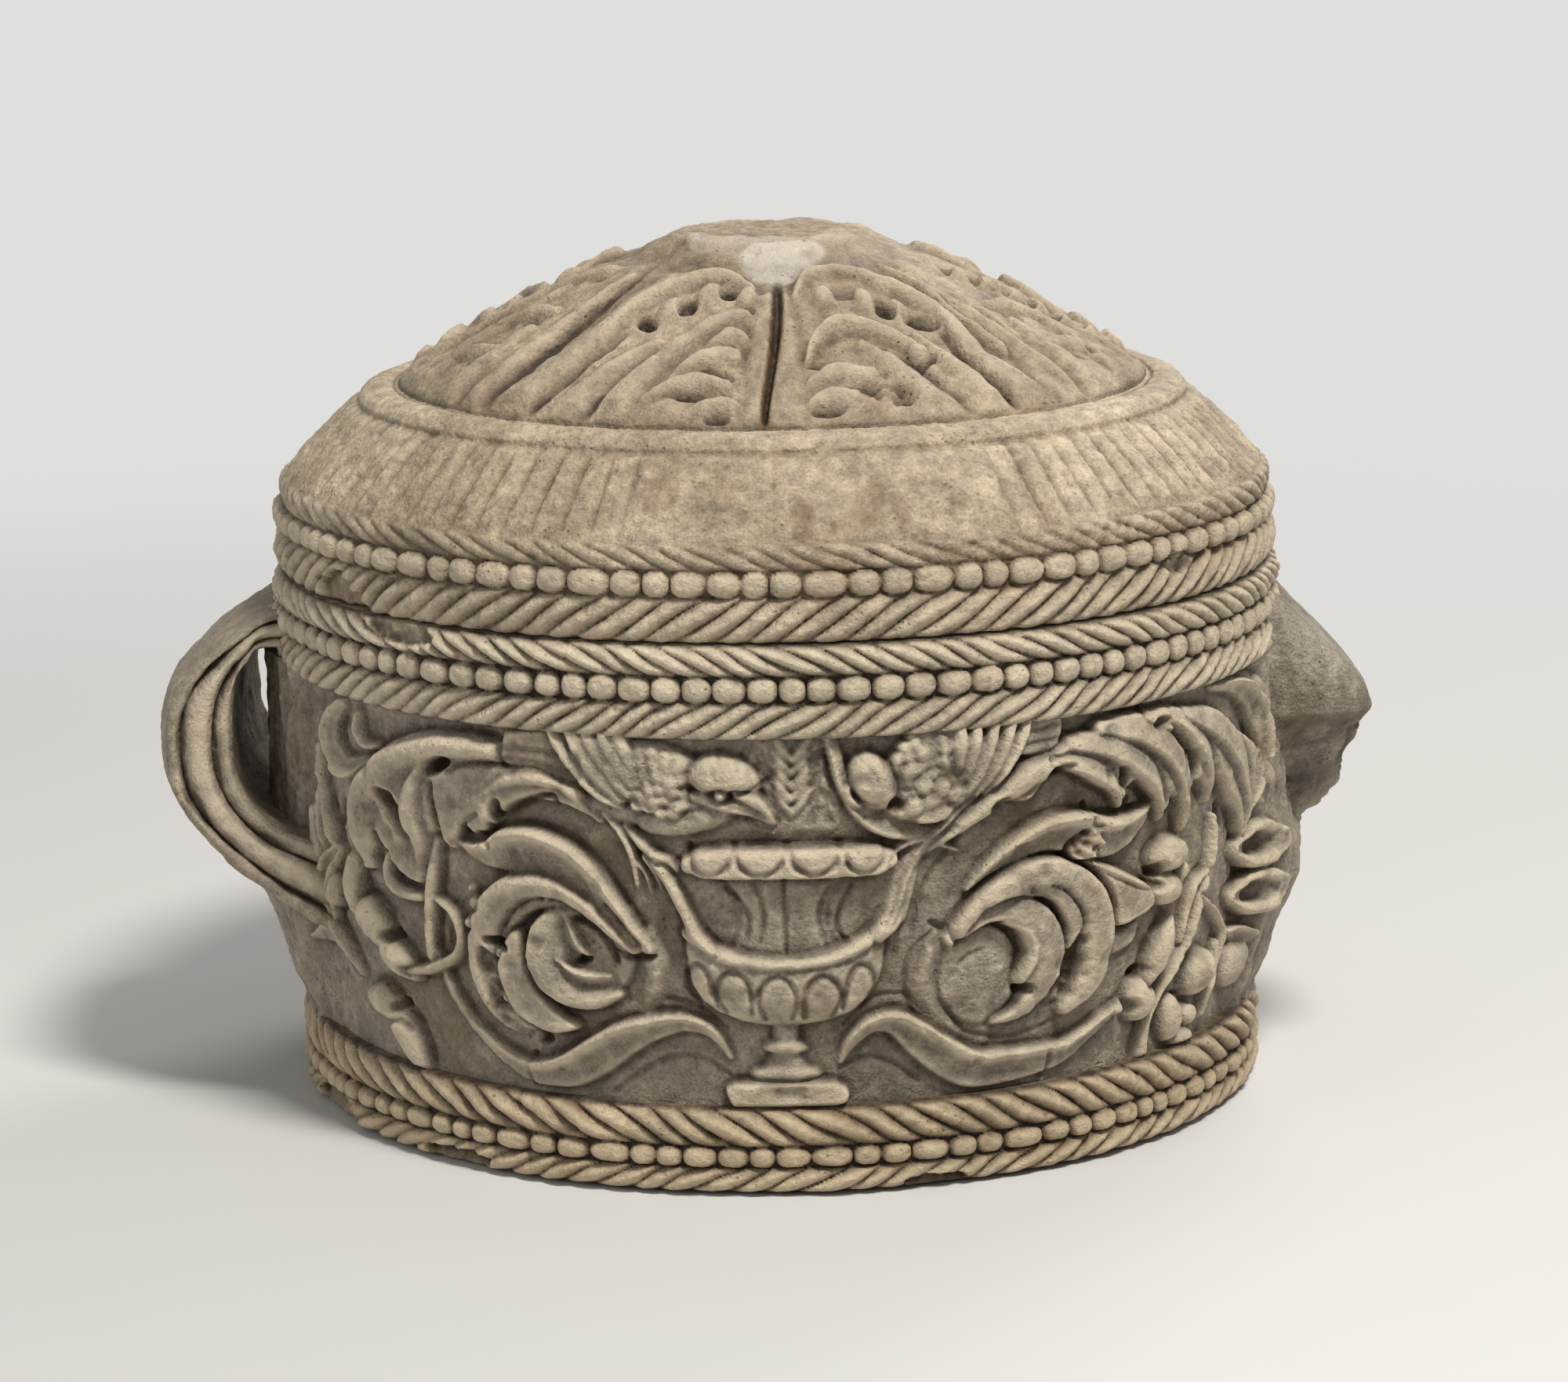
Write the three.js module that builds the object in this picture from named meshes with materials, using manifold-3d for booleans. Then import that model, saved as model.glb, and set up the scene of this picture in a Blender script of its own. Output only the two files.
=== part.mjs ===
// Round marble cinerary urn with its lid: a bowl carved with rope-and-bead mouldings, one
// whole strap handle and the stub of the broken one, under a domed lid of radiating leaves.
// Millimetres, +Z up, origin on the urn's axis in the plane of its foot, front towards -Y.
import * as THREE from 'three';
import { mergeVertices } from 'three/addons/utils/BufferGeometryUtils.js';
import Module from 'manifold-3d';

const wasm = await Module();
wasm.setup();

// Bowl
const BOWL_HEIGHT = 184.7;
const FOOT_RADIUS = 164;
const FOOT_CHAMFER = 1.5;
const WALL_RADIUS = 170;
const WALL_TAPER = 6;
const WALL_THICKNESS = 29;
const FLOOR_THICKNESS = 32;
const FLOOR_FILLET = 26;

// Rope-and-bead mouldings: every band has the same number of strands and beads
const STRANDS = 108;
const STRAND_REACH = 2;
const BAND_PROUD = 3.5;
const BASE_LOWER_ROPE = 8.5;
const BASE_BEADS = 7;
const BASE_UPPER_ROPE = 14;
const RIM_LOWER_ROPE = 11.8;
const RIM_BEADS = 8.3;
const RIM_UPPER_ROPE = 8.8;
const RIM_LEDGE = 1.8;
const LID_LOWER_ROPE = 12.5;
const LID_BEADS = 8.5;
const LID_UPPER_ROPE = 8;
const ROPE_SWELL = 3.6;
const ROPE_GROOVE = 1.8;
const BEAD_SWELL = 2.8;
const BEAD_GROOVE = 1.9;

// Lid
const SEAT_GAP = 0.3;
const LID_INSET = 1.5;
const REGISTER_CLEARANCE = 1.5;
const REGISTER_DEPTH = 8;
const REGISTER_WIDTH = 10;
const LID_HOLLOW = 68;
const TONGUE_PROUD = 2;
const TONGUE_RISE = 26;
const TONGUE_RUN = 24;
const TONGUE_GROOVE = 1.2;
const FILLET_WIDTH = 12;
const FILLET_RISE = 5;
const DOME_RISE = 52;
const BREAK_RADIUS = 34;
const LEAVES = 8;
const LEAF_RELIEF = 3.5;

// Handles: straps that follow the curve of the wall, with rolls along their edges
const HANDLE_REACH = 48;
const HANDLE_TOP_DROP = 11.7;
const HANDLE_HEIGHT = 107;
const HANDLE_HALF_WIDTH = 72;
const HANDLE_FLARE = 3;
const HANDLE_ROLL = 2.4;
const STUB_REACH = 41;
const PANEL_PROUD = 16;
const PANEL_HALF_WIDTH = 64;
const ROOT_DEPTH = 12;

// Relief of the wall between the two bands
const CARVED_SPAN = 200;
const LEAF_HALF_WIDTH = 8;
const RELIEF = 8;
const RELIEF_ROOT = 3;
const KRATER_HALF_WIDTH = 35;
const KRATER_OFFSET = 2;
const KRATER_PROUD = 9;

// Worked out from the sizes above
const TURN = 2 * Math.PI;
const QUARTER = TURN / 4;
const CAVITY_RADIUS = WALL_RADIUS - WALL_THICKNESS;
const REGISTER_RADIUS = CAVITY_RADIUS - REGISTER_CLEARANCE;
const BASE_BAND_TOP = FOOT_CHAMFER + BASE_LOWER_ROPE + BASE_BEADS + BASE_UPPER_ROPE;
const RIM_BAND_FOOT = BOWL_HEIGHT - RIM_LEDGE - RIM_UPPER_ROPE - RIM_BEADS - RIM_LOWER_ROPE;
const CARVED_HEIGHT = RIM_BAND_FOOT - BASE_BAND_TOP;
const HANDLE_TOP = BOWL_HEIGHT - HANDLE_TOP_DROP;
const BASE_RADIUS = WALL_RADIUS - WALL_TAPER + BAND_PROUD;
const RIM_RADIUS = WALL_RADIUS + BAND_PROUD;
const LID_RADIUS = RIM_RADIUS - LID_INSET;
const LID_FOOT = BOWL_HEIGHT + SEAT_GAP;
const LID_BAND_TOP = LID_FOOT + LID_LOWER_ROPE + LID_BEADS + LID_UPPER_ROPE;
const TONGUE_TOP = LID_BAND_TOP + TONGUE_RISE;
const TONGUE_TOP_RADIUS = LID_RADIUS + TONGUE_PROUD - TONGUE_RUN;
const DOME_RADIUS = TONGUE_TOP_RADIUS - FILLET_WIDTH;
const DOME_FOOT = TONGUE_TOP + FILLET_RISE;
const BOWL_COLUMNS = 54;
const WALL_SHARES = [[0, 0], [0.6, 0.3], [1, 0.75], [1, 1]];
const LEAF_COLUMNS = 8;
const DOME_COLUMNS = LEAF_COLUMNS * LEAVES;
const BAND_COLUMNS = 2 * STRANDS;

function pointAt(angle, radius, height) {
  return new THREE.Vector3(radius * Math.sin(angle), -radius * Math.cos(angle), height);
}

// A ring of points round the axis. Its twist is counted in strands, so that the strands of a
// rope lean, and its swell moves each column outwards and upwards.
function ring(columns, radius, height, twist = 0, swell = () => [0, 0]) {
  const points = [];
  for (let column = 0; column < columns; column += 1) {
    const angle = TURN * (column / columns + twist / STRANDS);
    const [outwards, upwards] = swell(column);
    points.push(pointAt(angle, radius + outwards, height + upwards));
  }
  return points;
}

// One rope: the row at its foot, the swelling row of strands and grooves, the row at its top
function ropeRings(radius, foot, height, twist, lean) {
  const strand = (column) => [column % 2 === 0 ? ROPE_SWELL : ROPE_SWELL - ROPE_GROOVE, 0];
  return [
    ring(STRANDS, radius, foot, twist),
    ring(BAND_COLUMNS, radius, foot + height / 2, twist + lean / 2, strand),
    ring(STRANDS, radius, foot + height, twist + lean),
  ];
}

// The beads between two ropes, which hold their outer rows
function beadRing(radius, foot, height, twist) {
  const bead = (column) => [column % 2 === 0 ? BEAD_SWELL : BEAD_SWELL - BEAD_GROOVE, 0];
  return ring(BAND_COLUMNS, radius, foot + height / 2, twist, bead);
}

// Rope, beads and rope, with the strands of the two ropes meeting like a herringbone
function bandRings(radius, foot, lowerRope, beads, upperRope) {
  const beadFoot = foot + lowerRope;
  return [
    ...ropeRings(radius, foot, lowerRope, 0, STRAND_REACH),
    beadRing(radius, beadFoot, beads, STRAND_REACH),
    ...ropeRings(radius, beadFoot + beads, upperRope, STRAND_REACH, -STRAND_REACH),
  ];
}

function meshOf(points, faces) {
  const geometry = new THREE.BufferGeometry();
  const places = points.flatMap((point) => point.toArray());
  geometry.setAttribute('position', new THREE.Float32BufferAttribute(places, 3));
  geometry.setIndex(faces);
  return geometry;
}

// Skins neighbouring rings with triangles, from one pole on the axis to the other. Rings of
// unlike counts are matched by their share of the turn.
function skinRings(firstPole, rings, lastPole) {
  const points = [firstPole];
  const faces = [];
  const starts = [];
  rings.forEach((loop) => {
    starts.push(points.length);
    points.push(...loop);
  });
  points.push(lastPole);
  const at = (level, column) => starts[level] + (column % rings[level].length);
  rings[0].forEach((_, column) => faces.push(0, at(0, column + 1), at(0, column)));
  for (let level = 1; level < rings.length; level += 1) {
    const below = rings[level - 1].length;
    const above = rings[level].length;
    let low = 0;
    let high = 0;
    while (low < below || high < above) {
      if ((low + 1) / below <= (high + 1) / above) {
        faces.push(at(level - 1, low), at(level - 1, low + 1), at(level, high));
        low += 1;
      } else {
        faces.push(at(level - 1, low), at(level, high + 1), at(level, high));
        high += 1;
      }
    }
  }
  const last = rings.length - 1;
  rings[last].forEach((_, column) => {
    faces.push(at(last, column), at(last, column + 1), points.length - 1);
  });
  return meshOf(points, faces);
}

// Turns a closed mesh right side out when its volume comes out negative
function facingOut(geometry) {
  const position = geometry.getAttribute('position');
  const faces = Array.from(geometry.getIndex().array);
  const corner = (n) => new THREE.Vector3().fromBufferAttribute(position, faces[n]);
  let volume = 0;
  for (let n = 0; n < faces.length; n += 3) {
    volume += corner(n).dot(corner(n + 1).cross(corner(n + 2)));
  }
  if (volume < 0) faces.reverse();
  geometry.setIndex(faces);
  return geometry;
}

// Skins a row of closed sections of equal counts and caps both ends
function skinSections(sections) {
  const count = sections[0].length;
  const points = sections.flat();
  const faces = [];
  for (let level = 1; level < sections.length; level += 1) {
    const low = (level - 1) * count;
    const high = level * count;
    for (let side = 0; side < count; side += 1) {
      const next = (side + 1) % count;
      faces.push(low + side, low + next, high + next);
      faces.push(low + side, high + next, high + side);
    }
  }
  [0, sections.length - 1].forEach((level) => {
    const middle = new THREE.Vector3();
    sections[level].forEach((point) => middle.addScaledVector(point, 1 / count));
    points.push(middle);
    for (let side = 0; side < count; side += 1) {
      const here = level * count + side;
      const there = level * count + ((side + 1) % count);
      faces.push(points.length - 1, ...(level === 0 ? [there, here] : [here, there]));
    }
  });
  return facingOut(meshOf(points, faces));
}

function solidOf(geometry) {
  const merged = mergeVertices(geometry);
  return new wasm.Manifold(new wasm.Mesh({
    numProp: 3,
    vertProperties: Float32Array.from(merged.getAttribute('position').array),
    triVerts: Uint32Array.from(merged.getIndex().array),
  }));
}

function geometryOf(solid) {
  const { vertProperties, triVerts } = solid.getMesh();
  const geometry = new THREE.BufferGeometry();
  geometry.setAttribute('position', new THREE.Float32BufferAttribute(vertProperties, 3));
  geometry.setIndex(Array.from(triVerts));
  geometry.computeVertexNormals();
  return geometry;
}

// Bowl: foot, carved wall between two bands, seat for the lid and the cavity for the ashes
function bowlGeometry() {
  const wall = WALL_SHARES.map(([widthShare, heightShare]) => ring(
    BOWL_COLUMNS,
    WALL_RADIUS - WALL_TAPER * (1 - widthShare),
    THREE.MathUtils.lerp(BASE_BAND_TOP, RIM_BAND_FOOT, heightShare),
  ));
  // The lowest rope rounds under to the foot, and the highest is tucked under the lid
  const baseBand = bandRings(BASE_RADIUS, FOOT_CHAMFER, BASE_LOWER_ROPE, BASE_BEADS, BASE_UPPER_ROPE);
  const rimBand = bandRings(RIM_RADIUS, RIM_BAND_FOOT, RIM_LOWER_ROPE, RIM_BEADS, RIM_UPPER_ROPE);
  const filletShares = [1, 2 / 3, 1 / 3, 0];
  const cavity = filletShares.map((share) => ring(
    BOWL_COLUMNS,
    CAVITY_RADIUS - FLOOR_FILLET * (1 - Math.sin(share * QUARTER)),
    FLOOR_THICKNESS + FLOOR_FILLET * (1 - Math.cos(share * QUARTER)),
  ));
  return skinRings(
    new THREE.Vector3(),
    [
      ring(BOWL_COLUMNS, FOOT_RADIUS, 0),
      ...baseBand.slice(1),
      ...wall,
      ...rimBand.slice(0, -1),
      ring(BOWL_COLUMNS, RIM_RADIUS, BOWL_HEIGHT),
      ring(BOWL_COLUMNS, CAVITY_RADIUS, BOWL_HEIGHT),
      ...cavity,
    ],
    new THREE.Vector3(0, 0, FLOOR_THICKNESS),
  );
}

// Radius of the plain ground between the reliefs at a height on the wall
function groundAt(height) {
  const heightShare = (height - BASE_BAND_TOP) / CARVED_HEIGHT;
  const above = Math.max(WALL_SHARES.findIndex(([, share]) => share >= heightShare), 1);
  const [lowWidth, lowHeight] = WALL_SHARES[above - 1];
  const [highWidth, highHeight] = WALL_SHARES[above];
  const widthShare = THREE.MathUtils.mapLinear(heightShare, lowHeight, highHeight, lowWidth, highWidth);
  return WALL_RADIUS - WALL_TAPER * (1 - THREE.MathUtils.clamp(widthShare, 0, 1));
}

// A place on the wall: along its arc from the middle of the front, up, and out of the ground
function wallPoint(along, height, proud) {
  return pointAt(along / WALL_RADIUS, groundAt(height) + proud, height);
}

function placeOnWall(alongShare, heightShare) {
  return new THREE.Vector2(alongShare * CARVED_SPAN, BASE_BAND_TOP + heightShare * CARVED_HEIGHT);
}

// A leaf or tendril: a rounded band along its stations, each with its place along and up the
// wall, its half width and how far it stands out, as shares of the sizes of the relief
function leafGeometry(stations) {
  const places = stations.map(([along, height]) => placeOnWall(along, height));
  const crossShares = [[1, -1], [0.45, 1], [-0.45, 1], [-1, -1]];
  return skinSections(stations.map(([, , width, proud], index) => {
    const before = places[Math.max(index - 1, 0)];
    const after = places[Math.min(index + 1, places.length - 1)];
    const across = after.clone().sub(before).normalize().rotateAround(new THREE.Vector2(), QUARTER);
    return crossShares.map(([side, rise]) => {
      const place = places[index].clone().addScaledVector(across, side * width * LEAF_HALF_WIDTH);
      return wallPoint(place.x, place.y, rise < 0 ? -RELIEF_ROOT : rise * proud * RELIEF);
    });
  }));
}

// A berry, a bird's body or head, or the eye of a scroll: a flattened ball, tilted by a share
// of a quarter turn
function bossGeometry([along, height, lengthShare, widthShare, tiltShare, proud]) {
  const boss = new THREE.SphereGeometry(1, 6, 4);
  boss.rotateX(QUARTER);
  const position = boss.getAttribute('position');
  const middle = placeOnWall(along, height);
  for (let n = 0; n < position.count; n += 1) {
    const place = new THREE.Vector2(
      position.getX(n) * lengthShare * LEAF_HALF_WIDTH,
      position.getY(n) * widthShare * LEAF_HALF_WIDTH,
    ).rotateAround(new THREE.Vector2(), tiltShare * QUARTER).add(middle);
    const point = wallPoint(place.x, place.y, position.getZ(n) * proud * RELIEF);
    position.setXYZ(n, point.x, point.y, point.z);
  }
  ['normal', 'uv'].forEach((name) => boss.deleteAttribute(name));
  return facingOut(mergeVertices(boss, RELIEF_ROOT / 1000));
}

// The krater that the birds drink at: its turned outline, flattened against the wall
function kraterGeometry() {
  const outlineShares = [
    [0, 0], [0.5, 0], [0.5, 0.06], [0.43, 0.09], [0.17, 0.14], [0.26, 0.17], [0.14, 0.21], [0.46, 0.25],
    [0.8, 0.29], [0.93, 0.36], [0.93, 0.42], [0.7, 0.47], [0.68, 0.56], [0.76, 0.62], [0.97, 0.65],
    [1, 0.7], [0.9, 0.73], [0, 0.73],
  ];
  const outline = outlineShares.map(([widthShare, heightShare]) => new THREE.Vector2(
    widthShare * KRATER_HALF_WIDTH,
    BASE_BAND_TOP + heightShare * CARVED_HEIGHT,
  ));
  const krater = new THREE.LatheGeometry(outline, 8);
  const position = krater.getAttribute('position');
  for (let n = 0; n < position.count; n += 1) {
    const proud = (position.getZ(n) / KRATER_HALF_WIDTH) * KRATER_PROUD;
    const point = wallPoint(position.getX(n) + KRATER_OFFSET, position.getY(n), proud);
    position.setXYZ(n, point.x, point.y, point.z);
  }
  ['normal', 'uv'].forEach((name) => krater.deleteAttribute(name));
  return facingOut(mergeVertices(krater, RELIEF_ROOT / 1000));
}

// Leaves, tendrils, birds and berries. Stations of leaves hold shares along, up, across and
// out; a boss holds its place, half length, half width, tilt and how far it stands out.
const leftScrollShares = [
  [[-0.56, 0.67, 0.2, 0.5], [-0.5, 0.67, 0.6, 0.8], [-0.425, 0.69, 0.9, 0.9],
   [-0.35, 0.66, 0.8, 1], [-0.28, 0.58, 0.6, 1], [-0.22, 0.45, 0.2, 0.7]],
  [[-0.23, 0.45, 0.2, 0.6], [-0.27, 0.51, 0.5, 0.9], [-0.33, 0.57, 0.6, 1], [-0.4, 0.58, 0.8, 1],
   [-0.465, 0.53, 0.9, 1], [-0.505, 0.44, 0.8, 0.9], [-0.51, 0.34, 0.5, 0.7]],
  [[-0.46, 0.4, 0.5, 0.6], [-0.46, 0.3, 0.9, 0.9], [-0.42, 0.23, 1, 1], [-0.37, 0.2, 0.6, 0.9],
   [-0.335, 0.19, 0.2, 0.6]],
  [[-0.09, 0.15, 0.1, 0.5], [-0.15, 0.22, 0.5, 0.9], [-0.24, 0.19, 0.8, 0.9],
   [-0.31, 0.11, 0.9, 0.9], [-0.38, 0.06, 0.7, 0.8], [-0.46, 0.06, 0.6, 0.8],
   [-0.54, 0.14, 0.5, 0.7], [-0.62, 0.28, 0.2, 0.5]],
];
const rightScrollShares = [
  [[0.315, 0.6, 0.1, 0.5], [0.36, 0.66, 0.5, 0.8], [0.43, 0.69, 0.8, 0.9], [0.51, 0.7, 0.8, 1],
   [0.6, 0.67, 0.5, 0.8], [0.67, 0.7, 0.2, 0.5]],
  [[0.265, 0.48, 0.2, 0.6], [0.325, 0.57, 0.6, 0.9], [0.395, 0.6, 0.8, 1], [0.46, 0.58, 1, 1],
   [0.52, 0.51, 1, 1], [0.55, 0.42, 1, 1], [0.55, 0.32, 0.9, 0.9], [0.49, 0.17, 0.2, 0.5]],
  [[0.32, 0.5, 0.2, 0.6], [0.375, 0.51, 0.5, 0.9], [0.43, 0.47, 0.9, 1], [0.45, 0.37, 1, 1],
   [0.42, 0.25, 0.7, 0.8], [0.37, 0.2, 0.2, 0.5]],
  [[0.1, 0.11, 0.1, 0.5], [0.15, 0.2, 0.5, 0.9], [0.21, 0.2, 0.6, 0.9], [0.28, 0.1, 0.8, 0.9],
   [0.35, 0.06, 0.8, 0.9], [0.42, 0.04, 0.8, 0.8], [0.5, 0.06, 0.6, 0.8], [0.61, 0.14, 0.2, 0.6]],
];
const leftLeafShares = [
  [[-0.47, 0.94, 0.6, 0.7], [-0.55, 0.95, 0.8, 0.8], [-0.64, 0.91, 0.8, 0.9],
   [-0.76, 0.84, 0.6, 0.9], [-0.86, 0.83, 0.6, 0.8], [-0.88, 0.91, 0.5, 0.6]],
  [[-0.3, 0.81, 0.2, 0.5], [-0.37, 0.85, 0.6, 0.8], [-0.44, 0.86, 0.9, 0.9], [-0.5, 0.83, 1.1, 1],
   [-0.55, 0.76, 1.1, 1], [-0.56, 0.68, 0.6, 0.7]],
  [[-0.615, 0.89, 0.4, 0.6], [-0.625, 0.66, 0.5, 0.8], [-0.64, 0.51, 0.4, 0.7],
   [-0.63, 0.37, 0.4, 0.5]],
  [[-0.735, 0.56, 0.2, 0.5], [-0.72, 0.52, 0.3, 0.7], [-0.68, 0.5, 0.3, 0.7],
   [-0.645, 0.5, 0.2, 0.5]],
  [[-0.65, 0.79, 0.9, 0.9], [-0.7, 0.71, 1.1, 1], [-0.76, 0.64, 1.1, 0.9], [-0.78, 0.58, 0.5, 0.5]],
  [[-0.965, 0.82, 0.4, 0.7], [-0.96, 0.69, 0.4, 0.9], [-0.94, 0.6, 0.8, 1],
   [-0.92, 0.53, 0.4, 0.8]],
];
const rightLeafShares = [
  [[0.3, 0.78, 0.2, 0.5], [0.37, 0.83, 0.5, 0.8], [0.45, 0.89, 0.8, 0.9], [0.56, 0.95, 0.9, 1],
   [0.67, 0.95, 1, 1], [0.78, 0.87, 1.2, 1], [0.88, 0.77, 1.5, 1], [0.95, 0.66, 0.8, 0.7]],
  [[0.46, 0.87, 0.2, 0.6], [0.52, 0.83, 0.4, 0.9], [0.58, 0.77, 0.2, 0.6]],
  [[0.54, 0.91, 0.4, 0.7], [0.61, 0.82, 0.5, 0.9], [0.68, 0.71, 0.2, 0.6]],
  [[0.65, 0.91, 0.5, 0.7], [0.71, 0.79, 0.6, 0.9], [0.745, 0.65, 0.2, 0.6]],
  [[0.75, 0.87, 0.6, 0.8], [0.8, 0.76, 0.6, 0.9], [0.83, 0.64, 0.5, 0.8], [0.82, 0.5, 0.5, 0.7],
   [0.79, 0.29, 0.4, 0.7], [0.705, 0.15, 0.2, 0.5]],
  [[0.53, 0.58, 0.2, 0.5], [0.59, 0.51, 0.6, 0.9], [0.64, 0.45, 0.8, 0.9], [0.67, 0.4, 0.2, 0.5]],
];
const leftBirdShares = [
  [[-0.46, 0.95, 0.3, 0.6], [-0.39, 0.95, 0.5, 0.7], [-0.32, 0.94, 0.5, 0.8]],
  [[-0.38, 1, 0.1, 0.5], [-0.32, 0.92, 0.5, 0.9], [-0.25, 0.84, 0.3, 0.7]],
  [[-0.075, 0.89, 0.5, 0.7], [-0.04, 0.84, 0.3, 0.8], [-0.015, 0.78, 0.1, 0.6]],
];
const rightBirdShares = [
  [[0.48, 0.95, 0.4, 0.6], [0.42, 0.96, 0.5, 0.7], [0.35, 0.95, 0.6, 0.8]],
  [[0.395, 1.01, 0.1, 0.5], [0.36, 0.93, 0.5, 0.9], [0.3, 0.83, 0.2, 0.7]],
  [[0.095, 1, 0.2, 0.7], [0.11, 0.89, 0.4, 0.8], [0.16, 0.82, 0.3, 0.6], [0.2, 0.76, 0.2, 0.5]],
];
const leftBossShares = [
  [-0.21, 0.9, 2.6, 1.1, -0.13, 0.9],
  [-0.085, 0.91, 1.2, 0.9, -0.09, 1],
  [-0.33, 0.39, 1.9, 1.8, 0, 0.7],
  [-0.81, 0.48, 0.6, 1, 0, 0.9],
  [-0.785, 0.38, 1.1, 1, 0, 1],
  [-0.71, 0.32, 1.1, 0.8, 0, 0.9],
  [-0.705, 0.11, 0.9, 1.1, 0.33, 0.9],
];
const rightBossShares = [
  [0.265, 0.9, 2.8, 1.4, 0.09, 1],
  [0.145, 0.91, 0.9, 1.2, 0, 1],
  [0.655, 0.19, 1, 1.1, 0, 1],
  [0.71, 0.57, 1.2, 0.8, -0.22, 1],
  [0.72, 0.48, 1.2, 0.7, 0, 1],
  [0.715, 0.31, 1, 1, 0.33, 0.9],
  [0.84, 0.19, 1.6, 0.9, 0, 1],
  [0.76, 0.11, 1, 1, 0, 0.9],
];

// The back repeats the larger scrolls of the front on either side of a plain stem
const backStemShares = [
  [0, 0, 0.8, 0.6], [0, 0.3, 0.5, 0.8], [0, 0.6, 1, 1], [0, 0.85, 1.5, 0.9], [0, 1, 0.6, 0.6],
];

function reliefGeometries() {
  const leaves = [...leftLeafShares, ...rightLeafShares, ...leftBirdShares, ...rightBirdShares];
  const front = [...leftScrollShares, ...rightScrollShares, ...leaves];
  const larger = [leftScrollShares[1], leftScrollShares[3], rightScrollShares[1], rightScrollShares[3]];
  const back = [...larger, backStemShares].map((stations) => (
    leafGeometry(stations).rotateZ(2 * QUARTER)));
  const bosses = [...leftBossShares, ...rightBossShares].map(bossGeometry);
  return [kraterGeometry(), ...front.map(leafGeometry), ...bosses, ...back];
}

// The middle of each handle lies on the urn's left or right, a quarter turn from the front
function sidePoint(side, radius, across, height) {
  const reach = Math.sqrt(Math.max(radius * radius - across * across, 0));
  return new THREE.Vector3(side * reach, across, height);
}

// Section of a strap: its outer face follows the curve of the wall, its edges carry three
// rolls with grooves between them, and its inner face flares towards both edges.
function strapSection(side, reach, halfWidth, [outerOut, outerDown, innerOut, innerDown]) {
  const outerRadius = WALL_RADIUS + reach * outerOut;
  const innerRadius = WALL_RADIUS + reach * innerOut;
  const outerHeight = HANDLE_TOP - HANDLE_HEIGHT * outerDown;
  const innerHeight = HANDLE_TOP - HANDLE_HEIGHT * innerDown;
  const faceShares = [-1, -0.5, 0, 0.5, 1];
  const rollShares = [[0.12, 0.8], [0.27, -1], [0.5, 1], [0.76, -0.6]];
  const flared = (share) => innerRadius + HANDLE_FLARE * share * share;
  const outer = faceShares.map((share) => (
    sidePoint(side, outerRadius, share * halfWidth, outerHeight)));
  const inner = faceShares.map((share) => (
    sidePoint(side, flared(share), share * halfWidth, innerHeight)));
  const edge = (faceShare) => rollShares.map(([share, roll]) => sidePoint(
    side,
    THREE.MathUtils.lerp(outerRadius, flared(faceShare), share),
    faceShare * (halfWidth + HANDLE_ROLL * roll),
    THREE.MathUtils.lerp(outerHeight, innerHeight, share),
  ));
  return [...outer, ...edge(1), ...inner.reverse(), ...edge(-1).reverse()];
}

// Stations of the whole handle from the rim to the wall above the base: half the width, outer
// face out and down, and inner face out and down, all as shares of the handle's sizes
const handleShares = [
  [0.53, -0.25, -0.01, -0.25, 0.14],
  [0.55, 0.19, 0.014, 0.21, 0.12],
  [0.58, 0.42, 0.065, 0.354, 0.178],
  [0.6, 0.625, 0.13, 0.406, 0.234],
  [0.61, 0.81, 0.206, 0.427, 0.28],
  [0.62, 0.93, 0.28, 0.44, 0.327],
  [0.65, 0.99, 0.374, 0.448, 0.393],
  [0.69, 1, 0.477, 0.448, 0.477],
  [0.75, 0.96, 0.58, 0.417, 0.56],
  [0.83, 0.81, 0.69, 0.354, 0.617],
  [0.9, 0.6, 0.79, 0.25, 0.66],
  [0.96, 0.35, 0.89, 0.083, 0.69],
  [1, 0.06, 0.98, -0.125, 0.72],
  [1, -0.25, 1.06, -0.29, 0.75],
];

function handleGeometry() {
  return skinSections(handleShares.map(([width, ...faceShares]) => (
    strapSection(-1, HANDLE_REACH, HANDLE_HALF_WIDTH * width, faceShares))));
}

// The broken handle ends in a rough face below the shelf that it leaves the rim with
const stubShares = [
  [0.53, -0.25, -0.01, -0.25, 0.16],
  [0.55, 0.2, 0.03, 0.2, 0.15],
  [0.57, 0.5, 0.13, 0.33, 0.22],
  [0.56, 0.75, 0.23, 0.4, 0.31],
  [0.52, 0.92, 0.33, 0.5, 0.41],
  [0.4, 1, 0.42, 0.68, 0.5],
];

function stubGeometry() {
  return skinSections(stubShares.map(([width, ...faceShares]) => (
    strapSection(1, STUB_REACH, HANDLE_HALF_WIDTH * width, faceShares))));
}

// Section of a lump on the wall: an arc that swells towards its middle, closed inside the wall
function lumpSection(side, height, proud, middle, halfWidth) {
  const swellShares = [[-1, 0], [-0.7, 0.6], [-0.35, 0.92], [0, 1], [0.35, 0.92], [0.7, 0.6], [1, 0]];
  const ground = WALL_RADIUS - WALL_TAPER;
  const face = swellShares.map(([share, swell]) => (
    sidePoint(side, ground + (proud + WALL_TAPER) * swell, middle + share * halfWidth, height)));
  const back = [1, 0, -1].map((share) => (
    sidePoint(side, WALL_RADIUS - ROOT_DEPTH, middle + share * halfWidth, height)));
  return [...face, ...back];
}

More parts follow.
